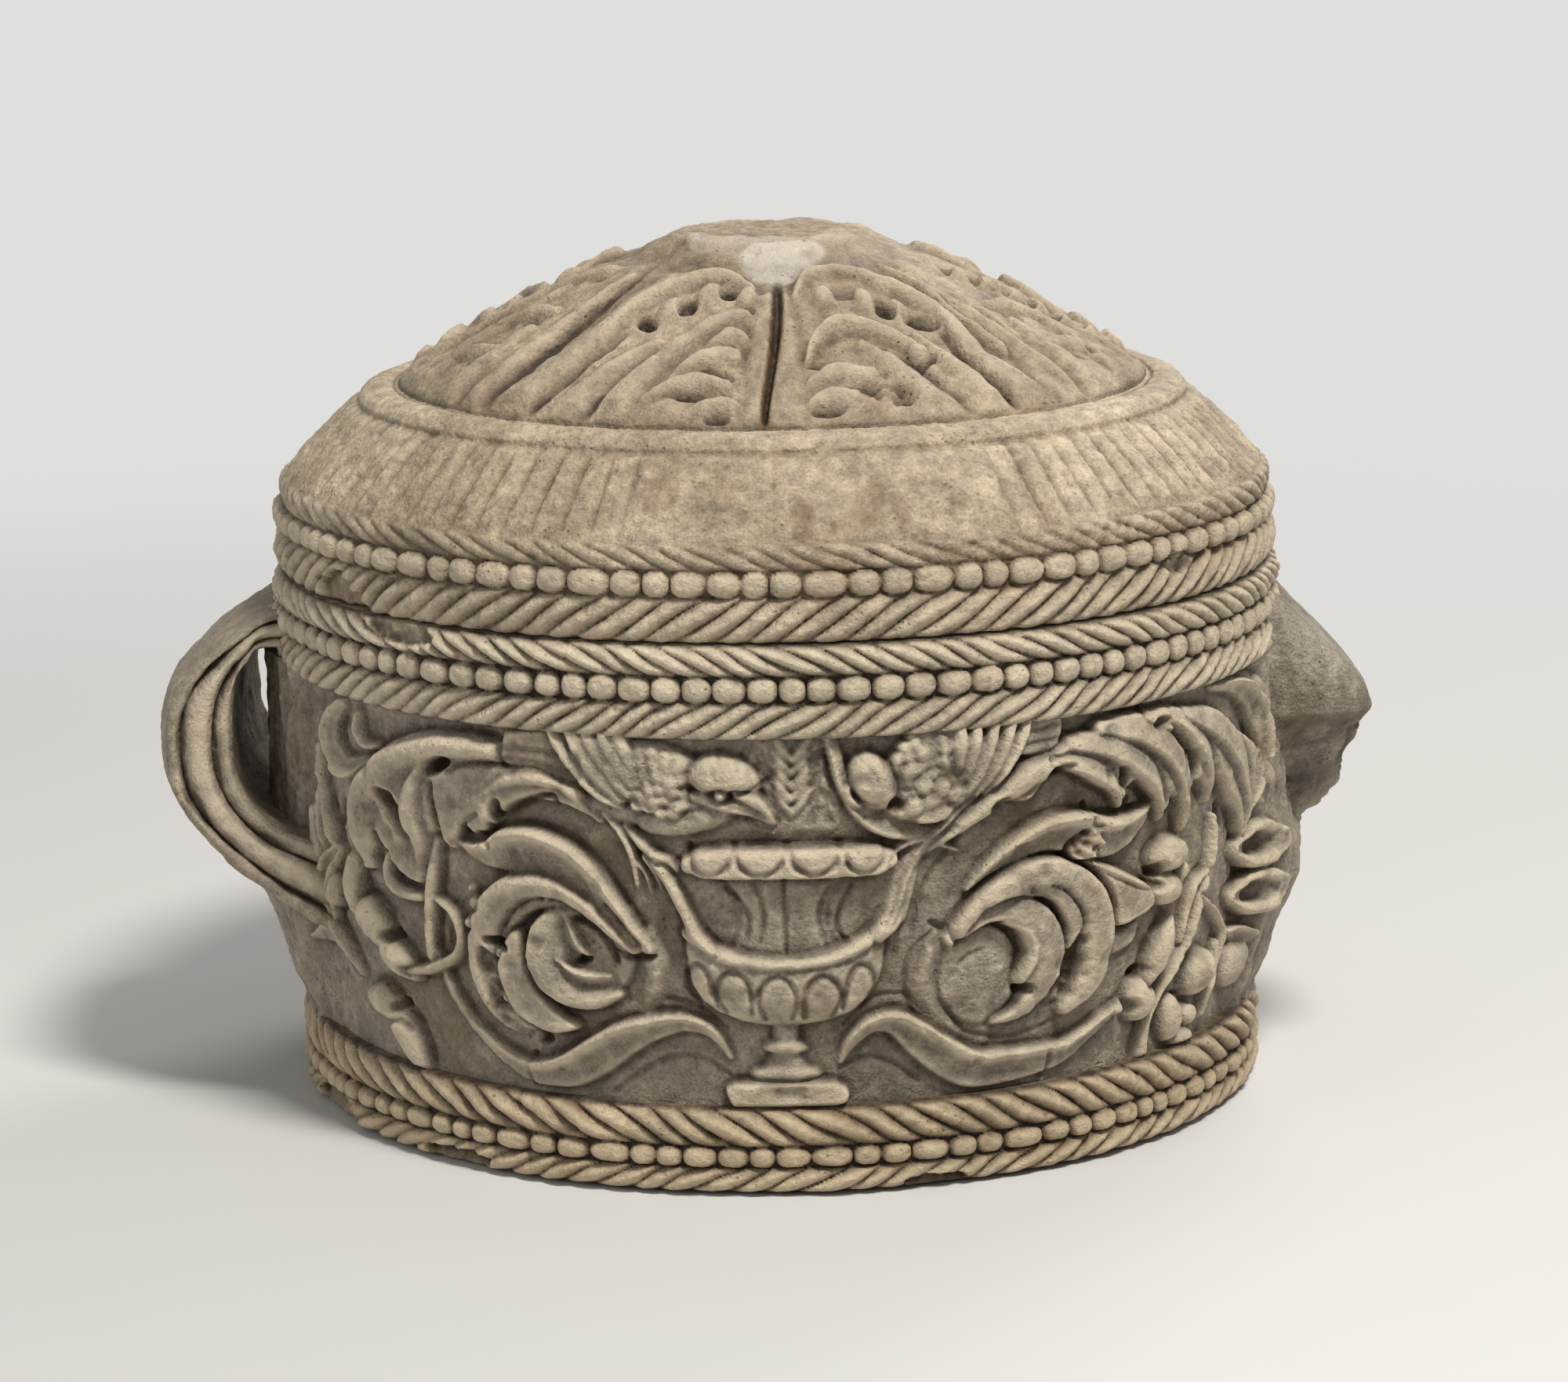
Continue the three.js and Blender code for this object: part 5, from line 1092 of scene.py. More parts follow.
def rim_cut(turn, height):
    lower, row, upper = RIM_COUNTS
    return (rope(turn, height, RIM_ROPE_FOOT, RIM_BEADS_FOOT, lower, 1, 2.0, seed=6)
            + beads(turn, height, RIM_BEADS_FOOT, RIM_BEADS_TOP, row, seed=7)
            + rope(turn, height, RIM_BEADS_TOP, RIM_ROPE_TOP, upper, -1, 1.9, seed=8))


rope_ring("base_band", np.linspace(0, 29.4, int(29.4 / BAND_CELL)), base_cut, 167.5,
          [(159, 29.4), (152, 15), (152, 0.6), (160, 0)], base_marble,
          [(-118, 3, 16, 3.4, -1.5), (52, 2, 12, 2.6, -1.5), (-196, 4, 20, 6, -1)])
rope_ring("rim_band", np.linspace(153.8, 184.6, int(30.8 / BAND_CELL)), rim_cut, 173.5,
          [(171.5, 184.7), (157, 184.7), (142, 184.7), (141, 184), (141, 153.8), (160, 153.8)], rope_marble,
          [(-136, 181.4, 17, 4.4, 0.5), (330, 178, 16, 5, 0.4)])


# Bowl's inside: the block of marble behind the bands and the wall, hollowed out for the ashes
# with a flat floor and a rounded corner, and left as the chisel finished it.
inside_marble = marble("inside_marble", (184, 170, 147), (154, 140, 118), (74, 58, 42), (204, 190, 166),
                       0.5, 0.2, (126, 102, 74), 0.5, stain_amount=0.55)


def turned_piece(name, outline, steps, material, body, node):
    """A turned body: its outline of radius and height is spun round the axis."""
    bpy.ops.object.select_all(action="DESELECT")
    bpy.ops.mesh.primitive_plane_add(size=0.01)
    piece = bpy.context.active_object
    piece.name = piece.data.name = name
    bpy.ops.object.mode_set(mode="EDIT")
    bpy.ops.mesh.select_all(action="SELECT")
    bpy.ops.mesh.delete(type="VERT")
    bpy.ops.object.mode_set(mode="OBJECT")
    piece.data.from_pydata([(radius * MM, 0, height * MM) for radius, height in outline],
                           [(n, n + 1) for n in range(len(outline) - 1)], [])
    bpy.ops.object.mode_set(mode="EDIT")
    bpy.ops.mesh.select_all(action="SELECT")
    bpy.ops.mesh.spin(steps=steps, angle=2 * math.pi, center=(0, 0, 0), axis=(0, 0, 1))
    bpy.ops.mesh.select_all(action="SELECT")
    bpy.ops.mesh.remove_doubles(threshold=0.00002)
    bpy.ops.mesh.normals_make_consistent(inside=False)
    bpy.ops.object.mode_set(mode="OBJECT")
    bpy.ops.object.shade_smooth_by_angle(angle=math.radians(40))
    piece.data.materials.append(material)
    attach(piece, body)
    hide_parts(node)


FLOOR_HEIGHT, FLOOR_CORNER, CAVITY_RADIUS = 32.0, 26.0, 141.0
corner = [(CAVITY_RADIUS - FLOOR_CORNER * (1 - math.sin(turn)), FLOOR_HEIGHT + FLOOR_CORNER * (1 - math.cos(turn)))
          for turn in np.linspace(0, math.pi / 2, 14)]
turned_piece("bowl_inside", [(0, 0.3), (60, 0.2), (151, 0), (153, 1.2), (153, 29), (159.4, 30), (159.4, 153.6),
                             (CAVITY_RADIUS, 153.6), (CAVITY_RADIUS, 110)] + corner[::-1]
             + [(80, FLOOR_HEIGHT), (40, FLOOR_HEIGHT), (0, FLOOR_HEIGHT)],
             180, inside_marble, "bowl", "urn_body")


# Handle: a broad strap cut from the same block, which leaves the rim, drops to the wall above
# the base and stands clear of it behind a narrow loop. Three rolls run along each edge.
handle_marble = marble("handle_marble", (168, 155, 134), (136, 124, 106), (60, 47, 34), (204, 190, 166),
                       0.8, 0.55, (122, 104, 80), 0.55, bump=0.5)
HANDLE_TOP, HANDLE_HEIGHT, HANDLE_REACH, STRAP_HALF_WIDTH = 173.0, 107.0, 48.0, 72.0
# along the strap: half its width, its outer face out and down, its inner face out and down
strap_stations = [
    (0.53, -0.25, -0.01, -0.25, 0.14), (0.55, 0.19, 0.014, 0.21, 0.12), (0.58, 0.42, 0.065, 0.354, 0.178),
    (0.6, 0.625, 0.13, 0.406, 0.234), (0.61, 0.81, 0.206, 0.427, 0.28), (0.62, 0.93, 0.28, 0.44, 0.327),
    (0.65, 0.99, 0.374, 0.448, 0.393), (0.69, 1, 0.477, 0.448, 0.477), (0.75, 0.96, 0.58, 0.417, 0.56),
    (0.83, 0.81, 0.69, 0.354, 0.617), (0.9, 0.6, 0.79, 0.25, 0.66), (0.96, 0.35, 0.89, 0.083, 0.69),
    (1, 0.06, 0.98, -0.125, 0.72), (1, -0.25, 1.06, -0.29, 0.75)]


def smooth_stations(stations, count):
    points = np.array(stations, float)
    ends = with_ends(points)
    place = np.linspace(0, len(points) - 1, count)
    n = np.minimum(place.astype(int), len(points) - 2)
    return smooth_curve(*(ends[n + k] for k in range(4)), (place - n)[:, None])


def strap(count, seed):
    """Strap with rolled edges: rows run round its section, columns along it."""
    run = smooth_stations(strap_stations, count)
    face, edge = ((38, 30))
    u_face = np.linspace(-1, 1, face, endpoint=False)
    t_edge = np.linspace(0, 1, edge, endpoint=False)
    u = np.concatenate([u_face, np.ones(edge), -u_face, -np.ones(edge)])
    t = np.concatenate([np.zeros(face), t_edge, np.ones(face), 1 - t_edge])
    sign = np.concatenate([np.zeros(face), np.ones(edge), np.zeros(face), -np.ones(edge)])
    # rolls along the edges: a thin one outside, a broad one, and a middling one inside
    rolls = np.interp(t, [0, 0.06, 0.12, 0.18, 0.235, 0.29, 0.38, 0.47, 0.57, 0.66, 0.705, 0.75, 0.82, 0.9, 0.96, 1],
                      [0, 1.7, 2.3, 1.5, -3.2, 1.6, 3.4, 4.0, 3.4, 1.4, -2.8, 1.0, 2.6, 2.8, 1.6, 0])
    half = STRAP_HALF_WIDTH * run[:, 0]
    outer_r, inner_r = WALL_RADIUS + HANDLE_REACH * run[:, 1], WALL_RADIUS + HANDLE_REACH * run[:, 3]
    outer_z, inner_z = HANDLE_TOP - HANDLE_HEIGHT * run[:, 2], HANDLE_TOP - HANDLE_HEIGHT * run[:, 4]
    u, t, sign, rolls = (part[:, None] for part in (u, t, sign, rolls))
    radius = outer_r + (inner_r + 3 * u ** 2 - outer_r) * t
    height = outer_z + (inner_z - outer_z) * t
    across = u * half + sign * rolls
    points = np.stack([radius, across, height], -1)
    # normals out of the section, for the marks of the chisel and the worn corners
    along = np.gradient(points, axis=1)
    round_it = np.roll(points, -1, 0) - np.roll(points, 1, 0)
    out = np.cross(round_it, along)
    out /= np.linalg.norm(out, axis=-1, keepdims=True) + 1e-9
    middle = points.mean(0, keepdims=True)
    out *= np.sign((out * (points - middle)).sum(-1, keepdims=True).sum((0, 1), keepdims=True))
    tool = (0.8 * cloudy(points, 11, seed) + 0.4 * cloudy(points * [1, 1, 0.4], 4, seed + 1)
            + 0.18 * cloudy(points, 1.8, seed + 2) - 1.4 * np.clip(cloudy(points, 8, seed + 3) - 0.45, 0, 1))
    points = points + out * tool[..., None]
    lift = np.where(sign != 0, rolls, 1.2) * np.ones_like(radius)
    # grooves between the rolls and hollows of the tooling are darkened as soil and painted shade, high rolls paler as
    # wear
    marks = {"recess": np.clip((0.6 - lift) / 2 + 0.6 * np.clip(-tool, 0, 1), 0, 1),
             "crest": np.clip((lift - 2.2) / 1.4 + 0.4 * np.clip(tool, 0, 1), 0, 1)}
    radius, across, height = points[..., 0], points[..., 1], points[..., 2]
    flat = np.stack([-np.sqrt(np.clip(radius ** 2 - across ** 2, 1, None)), across, height], -1)
    closed_piece("handle", flat, marks, handle_marble, "bowl", "urn_body")


strap(230, 41)


# Stub: what is left where the other handle broke off. A smooth shelf leaves the rim, and below
# it and towards the back the marble is a rough, paler, greyer break.
break_marble = marble("break_marble", (164, 153, 136), (126, 115, 99), (60, 48, 36), (208, 197, 178),
                      0.9, 0.7, (104, 86, 64), 0.52, bump=0.9)
stub_contour = [(160, 179), (168, 178), (176, 173), (182, 166), (195, 153), (205, 141.5), (208.6, 135.6),
    (210.4, 128.5), (208.6, 124), (205.5, 119), (204, 114), (203, 107), (200, 101), (195.5, 94), (188, 88), (187, 84),
    (187, 74), (186, 65.6), (181, 52), (176, 40), (160, 34)]
stub_rows, stub_columns = ((190, 130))
contour = smooth_stations([(*place, 0) for place in stub_contour], stub_rows)[:, :2]
level = contour[:, 1]
width = np.linspace(-1, 1, stub_columns)
half_width = np.interp(level, [34, 60, 100, 128, 150, 179], [24, 30, 35, 37, 42, 44])
middle = np.interp(level, [34, 60, 100, 122, 130], [18, 17, 12, 4, 0])
across = middle[:, None] + half_width[:, None] * width[None, :]
# the section falls off to the wall at both edges, sharply at the shelf and softly at the break
crisp = np.interp(level, [60, 110, 130, 179], [2.2, 3.4, 7, 9])[:, None]
fall = np.clip(1 - np.abs(width[None, :]) ** crisp, 0, 1) ** 0.5
radius = 160 + (contour[:, :1] - 160) * fall
height = contour[:, 1:2] + 0 * width
rock = np.stack([radius, across, height], -1)
broken = np.interp(level, [34, 60, 122, 130], [0.5, 1, 1, 0.16])[:, None]
lumps = (3.0 * cloudy(rock, 15, 51) + 1.9 * cloudy(rock * [1, 1, 0.6], 6.5, 52)
         + 1.0 * cloudy(rock, 3, 53) + 0.45 * cloudy(rock, 1.5, 54))
ledges = 3.0 * (np.abs(cloudy(rock * [1, 1, 1.4], 10, 55)) - 0.35) + 1.6 * (np.abs(cloudy(rock, 5, 56)) - 0.35)
radius = radius + (lumps + ledges) * broken * np.clip(fall * 1.4, 0, 1)
front = np.stack([np.sqrt(np.clip(radius ** 2 - across ** 2, 1, None)), across, height], -1)
STUB_BACK = 148.0
backs = [np.stack([np.full(stub_columns, STUB_BACK), 0.8 * across[row], np.full(stub_columns, end)], -1)[None]
         for row, end in ((-1, 44.0), (0, 170.0))]
relief = (lumps + ledges) * broken
# hollows of the break are darkened as soil and painted shade, its lumps paler as wear
closed_piece("handle_stub", np.concatenate([front, *backs]),
             {"recess": np.clip(-relief / 3, 0, 1), "crest": np.clip(relief / 4, 0, 1)},
             break_marble, "bowl", "urn_body")


# Lid's side: the third rope-and-bead band, a slope of worn tongues above it, and a rounded
# fillet at its top with a line cut inside it. It is one block with the dome.
lid_marble = marble("lid_marble", (186, 170, 145), (154, 138, 114), (72, 55, 38), (208, 194, 170),
                    1, 0.55, (128, 100, 70), 0.57)
LID_RADIUS, LID_FOOT = 172.0, 185.0
SIDE_CELL = 1.24 * CELL
# outline of the lid's side: radius and height, from its foot to inside the fillet
side_outline = np.array([(171.2, 185.0), (172, 186), (172, 216), (170.4, 219), (166, 224.6), (158, 232.6),
    (150, 239.8), (146.2, 242.2), (145.4, 243.4), (143.4, 245.8), (140, 247.4), (136.6, 248), (133.8, 247.6),
    (132.7, 246.8), (131.4, 247.2), (129, 248.6)])
LID_MARGIN = 8
LID_BEADS_FOOT, LID_BEADS_TOP, LID_ROPE_TOP = 200, 208.3, 217
LID_STRANDS, LID_BEADS, TONGUES = 98, 95, 104


def lid_side(name, first, last, cell):
    margin = LID_MARGIN
    steps = np.concatenate([[0], np.cumsum(np.hypot(*np.diff(side_outline, axis=0).T))])
    along = np.linspace(0, steps[-1], int(steps[-1] / SIDE_CELL))
    radius, height = np.interp(along, steps, side_outline[:, 0]), np.interp(along, steps, side_outline[:, 1])
    slope = np.gradient(radius), np.gradient(height)
    size = np.hypot(*slope)
    out, up = slope[1] / size, -slope[0] / size
    count = int((last - first) * LID_RADIUS / cell)
    step = (last - first) / count
    angle = first + step * np.arange(-margin, count + margin + 1)
    grid_angle, grid_height = np.meshgrid(angle, height)
    grid_radius = radius[:, None] + 0 * grid_angle
    flat = around(grid_angle, grid_radius, grid_height)
    turn = grid_angle / (2 * math.pi)
    arc, round_lid = grid_angle * LID_RADIUS, 2 * math.pi * LID_RADIUS
    ahead = np.where(arc > round_lid / 2, arc - round_lid, arc)
    depth = (rope(turn, grid_height, 185.6, LID_BEADS_FOOT, LID_STRANDS, 1, 2.0, seed=11, swell=4.3, groove=3.8)
             + beads(turn, grid_height, LID_BEADS_FOOT, LID_BEADS_TOP, LID_BEADS, seed=12, swell=4.4))
    worn_rope = rope(turn, grid_height, LID_BEADS_TOP, LID_ROPE_TOP, LID_STRANDS, -1, 1.8, seed=13, swell=3.2,
                     groove=2.4)
    depth = depth + worn_rope * (0.62 + 0.3 * cloudy(flat, 30, 14))
    # tongues: shallow hollows side by side, worn almost away in the middle of the front
    on_slope = np.interp(grid_radius, [145.4, 147.5, 151, 166, 170.5, 171.5], [0, 0.5, 1, 1, 0.4, 0])
    phase = TONGUES * turn + 0.1 * np.sin(turn * 40) + 512
    side = np.abs(2 * (phase % 1) - 1)
    left = np.interp(arc % round_lid, [0, 66, 100, round_lid - 64, round_lid - 40], [0.12, 0.15, 0.9, 0.9, 0.12])
    tongue = np.clip(1 - side ** 1.8, 0, 1) ** 0.6
    depth = depth - on_slope * left * (2.7 * (1 - tongue) + 0.5 * tongue * (1 - side)) * (grid_radius < 171.8)
    depth = depth - (0.9 * np.interp(grid_radius, [145.0, 145.8, 146.6, 148], [0, 1, 0.7, 0])
                     * (grid_height > 238) * (1 + 0.7 * cloudy(flat, 6, 15)))
    depth = weathered(depth, flat, 0.42, 81)
    worn = 0.5 * cloudy(flat, 15, 85) + 0.34 * cloudy(flat, 5, 86) + 0.2 * cloudy(flat, 2.2, 87)
    depth = depth + worn * np.interp(grid_radius, [144, 150, 168, 172], [0.6, 1, 1, 0.2])
    chips = [(-173, 190, 13, 7, -0.8), (-162, 187, 8, 4.5, -1.4), (150, 199, 8, 4, 0.9), (300, 190, 14, 6, 0),
             (-330, 194, 9, 8, 0.4)]
    depth = chipped(depth, ahead, grid_height, chips, flat)
    marks = hollows_and_crests(depth, cell, 2.0, 1.1)
    # grooves of the lid's band are darkened further: soil and painted shade
    in_band = grid_height < LID_ROPE_TOP
    marks["recess"] = np.clip(marks["recess"] + np.where(in_band, np.clip((1.1 - depth) / 1.8, 0, 0.32), 0), 0, 1)
    # a dark ring is painted along the cut line inside the fillet: painted shade in the groove
    marks["recess"] = np.maximum(
        marks["recess"], np.interp(grid_radius, [131.9, 132.5, 133, 133.8], [0, 0.85, 0.85, 0]) * (grid_height > 244))
    # rusty spots on the slope in front
    marks["rust"] = np.zeros_like(depth)
    for x, z, long, high, strong in ((10, 223, 4, 7, 0.55), (36, 232, 3.4, 6, 0.5), (43, 226, 2.6, 8, 0.45),
            (62, 226, 4, 4, 0.45), (-43, 231, 9, 5, 0.35), (-70, 222, 7, 5, 0.3), (-16, 236, 6, 3, 0.25),
            (96, 222, 6, 6, 0.3)):
        far = (((ahead - x) / long) ** 2 + ((grid_height - z) / high) ** 2
               + 0.9 * cloudy(flat, 4, 88) + 0.5 * cloudy(flat, 1.6, 89))
        marks["rust"] = np.maximum(marks["rust"], strong * np.clip(1.3 - far, 0, 1))
    radius, height = grid_radius + depth * out[:, None], grid_height + depth * up[:, None]
    skin = around(grid_angle, radius, height)
    inner = [around(angle, *place)[None] for place in ((129.0, 243.0), (158.0, 205.0), (160.0, 185.0))]
    skin = np.vstack([skin] + inner)[:, margin:-margin]
    closed_piece(name, skin, {label: values[:, margin:-margin] for label, values in marks.items()},
                 lid_marble, "lid", "lid")


lid_side("lid_side_left", -math.pi / 2, 0, SIDE_CELL)
lid_side("lid_side_right", 0, math.pi / 2, SIDE_CELL)
lid_side("lid_side_back", math.pi / 2, 3 * math.pi / 2, 2 * SIDE_CELL)


# Dome of the lid: acanthus leaves that spread from the break where the knob was, with drilled
# eyes, and a groove down the middle of the front, where rust has run over the marble.
dome_marble = marble("dome_marble", (170, 154, 130), (136, 121, 99), (58, 43, 30), (200, 185, 160),
                     1.1, 0.5, (112, 84, 58), 0.55)
POLAR_RADIUS = 140.0
DOME_EDGE = 131.0
HOLLOW_RADIUS, HOLLOW_HEIGHT, STONE_OVER_HOLLOW = 140, 68, 4


def fold(c, runs, keep):
    """Rounded folds that run down a leaf to the edge of the dome."""
    for run in runs:
        c.band([(x, y, 1.3 * width, rise) for x, y, width, rise in run], keep=keep, moat=0.3)


# places on the dome: along an arc that is read at one radius, and out from the axis
def carve_left_leaf(c):
    c.plate([(-13, 64), (-30, 54), (-60, 48), (-92, 54), (-106, 72), (-108, 92), (-114, 112), (-116, 131), (-12, 131),
        (-12, 96)], 3.0, bevel=9, keep=0.6, moat=0.4)
    # its edge curls over three drilled eyes and runs on down as a broad fold
    fold(c, [
        [(-12, 67, 1.8, 4.6), (-28, 60, 3.0, 6.6), (-46, 58.6, 3.4, 7.6), (-62, 63, 3.4, 7.8), (-76, 70, 3.6, 7.6),
         (-88, 78.6, 3.8, 7.4), (-91, 89, 5.2, 7.6), (-95, 101, 6.6, 7.4), (-100, 114, 7.6, 6.8), (-105, 131, 8, 5)],
        [(-58, 94, 1.8, 4.6), (-68, 103, 3.0, 5.0), (-76, 115, 3.8, 4.8), (-82, 131, 4.6, 4)],
        [(-13, 80.6, 1.8, 5), (-23, 82.6, 2.8, 7.0), (-34, 88, 3.4, 7.6), (-44, 97, 4.2, 7.4), (-52, 108, 5, 7),
         (-58, 120, 5.6, 6.2), (-61, 131, 6, 5)]], keep=0.8)
    for x, y, long, wide in ((-42, 69, 8, 5.6), (-63, 78, 8, 5.6), (-16, 72, 7, 5)):
        c.boss(x, y, long, wide, 3.4, base=2.8, full=0.6, keep=1, moat=0)
    c.drills(((-29, 68.4, 6.4, 3.2, 8), (-54, 75.2, 5.6, 4.2, 0), (-72.6, 84, 8, 3.2, 22)), 6.6)
    c.cut([(-50, 92, 1.4), (-61, 105, 2.6), (-67, 118, 3.2), (-71, 131, 3.6)], 2.8)
    c.cut([(-80, 92, 1.6), (-85, 104, 2.4), (-89, 118, 2.8), (-94, 131, 3.2)], 2.2)
    # short lobes towards the groove, each over a slot
    fold(c, [[(-31, 94.6, 1.4, 5), (-22, 91, 2.4, 6.8), (-13, 92.6, 1.8, 6)],
        [(-43, 114, 1.4, 5.4), (-36, 106.8, 2.6, 7), (-26, 102, 3, 7.6), (-16, 101.4, 2.2, 6.6)],
        [(-49, 123, 1.4, 5), (-41, 116.6, 2.4, 6.4), (-29, 115, 2.6, 6.8), (-17, 117.4, 1.8, 5.8)],
        [(-31, 128, 1.4, 4.6), (-22, 124.6, 2.2, 5.8), (-13, 125.6, 1.6, 5)]], keep=0.85)
    c.drills(((-22, 96, 5, 1.2, 6), (-23, 109.4, 7, 2.4, 16), (-34, 120.4, 8.6, 1.8, 4), (-20, 128.8, 4.8, 1.3, 0)),
        5.4)


def carve_right_leaf(c):
    c.plate([(13, 64), (28, 52), (60, 47), (92, 52), (108, 68), (106, 92), (106, 112), (112, 131), (12, 131),
        (12, 96)], 3.0, bevel=9, keep=0.6, moat=0.4)
    fold(c, [
        [(15, 72, 1.8, 4.6), (24, 62, 2.8, 6.4), (38, 56.4, 3.2, 7.2), (56, 56.4, 3.2, 7.4), (70, 60.6, 3.4, 7.6),
         (82, 67.6, 3.6, 7.6), (93, 75.6, 3.8, 7.4), (103, 84, 4, 7.4), (99.6, 95, 5, 7.6), (97, 108, 6.2, 7.2),
         (101, 121, 7, 6.4), (105, 131, 7.4, 5)],
        [(74, 95, 2.2, 5.4), (79, 108, 4.0, 6.4), (83, 120, 4.8, 6), (87, 131, 5.4, 4.8)],
        [(44, 98, 3, 5.4), (53, 109, 5, 6.0), (58, 120, 6, 5.6), (62, 131, 6.4, 4.6)]], keep=0.8)
    c.drill(50, 70, 12, 3.6, 2.6)
    for x, y, long, wide in ((61, 74.6, 7, 5.4), (78, 81, 7, 5.4), (34, 72, 8, 5)):
        c.boss(x, y, long, wide, 3.4, base=2.8, full=0.6, keep=1, moat=0)
    c.drill(70.6, 78.8, 5.2, 4.4, 6.8)
    c.drill(86, 86.4, 9, 4, 6.8, tilt=12)
    # lower curl, hooked at both ends, over a slot
    c.band([(16, 103, 1.8, 5.6), (19.6, 96.6, 2.8, 7.4), (28, 90.6, 3.2, 8.2), (40, 87.4, 3.4, 8.4),
        (52, 90, 3.4, 8.2), (62, 96, 3.2, 7.8), (70, 100.6, 2.6, 6.8)], keep=0.85)
    c.boss(68.6, 104, 5, 3.4, 2.6, base=4.8, full=0.4, keep=1)
    c.cut([(58, 103, 1.2), (66, 108, 1.6), (75, 106, 1.0)], 3.2)
    c.drill(24, 104.6, 8, 2.4, 5.8, tilt=-6)
    c.cut([(92, 94, 1.2), (89.6, 108, 2.0), (94, 131, 3.0)], 2.0)
    c.cut([(64, 108, 1.4), (70, 119, 2.4), (75, 131, 3.0)], 2.4)
    # broken lobes near the foot, cracked and rusty
    fold(c, [[(15, 115, 1.6, 5.2), (26, 111.4, 2.8, 7), (42, 113, 2.6, 6.6)],
        [(14, 124, 1.4, 4.8), (22, 121.2, 2.2, 6.2), (32, 122.6, 1.8, 5.6)]], keep=0.85)
    c.rough(46, 121.6, 12, 5.4, 2.8, seed=64, drop=1.6)
    c.drill(36, 117.4, 10, 1.7, 5.6, tilt=-8)
    c.drill(20.6, 126.4, 6.4, 1.5, 4.8)
    c.drill(53, 101, 1.6, 3, 3.4, tilt=20)
    spot, far = c.oval(44, 121.6, 13, 5.6, 0)
    c.rust[spot] = np.clip((1.1 - far) * 1.5, 0, 0.4)


def carve_side_leaf(c, middle, turn=1, pierced=False):
    """A broad leaf that is nearly smooth; on one side its curled edge is pierced by a row of drill holes."""
    def moved(points):
        return [(turn * x + middle, *rest) for x, *rest in points]
    c.plate(moved([(-46, 58), (-30, 45), (0, 41), (30, 45), (43, 58), (42, 84), (46, 108), (46, 131), (-46, 131),
        (-48, 90)][::turn]), 3.2, bevel=10, keep=0.6, moat=0.4)
    fold(c, [moved([(42, 62, 2.6, 4.6), (40, 82, 4, 5.8), (37, 102, 5.2, 6), (40, 131, 6, 4.6)]),
        moved([(16, 96, 4, 6.2), (18, 110, 5, 6), (22, 131, 5.6, 4.6)]),
        moved([(-10, 74, 2.6, 5.4), (-12, 100, 4.4, 6), (-4, 131, 5.6, 4.6)]),
        moved([(-36, 70, 3, 5), (-40, 100, 4.6, 6), (-38, 131, 6, 4.6)])], keep=0.8)
    for y, rise in ((62, 6.0), (88, 7.0), (110, 6.6)):
        c.band(moved([(17, y - 4, 2.6, rise - 1.4), (2, y, 3.8, rise), (-16, y + 8, 3.2, rise - 0.8)]), keep=0.85)
        c.drill(turn * 9 + middle, y + 4.6, 5, 2.0, 4.6, tilt=-20 * turn)
    c.cut(moved([(28, 84, 1.6), (28, 104, 2.4), (31, 131, 3.2)]), 2.0)
    if pierced:
        c.band([(x + middle, *rest) for x, *rest in (
            (-6, 58, 2.6, 4.6), (6, 68, 4.4, 6.8), (22, 83, 5.6, 7.6), (38, 97, 6.0, 7.8), (45, 112, 6.0, 7.4),
            (42, 129, 5.4, 5.6))], keep=0.7)
        for x, y in ((3, 64), (12, 73), (21.4, 82), (30.6, 90.4), (38.6, 98.6), (44, 107), (45, 116), (43, 125)):
            c.drill(x + middle, y, 4.6, 2.9, 6.6)


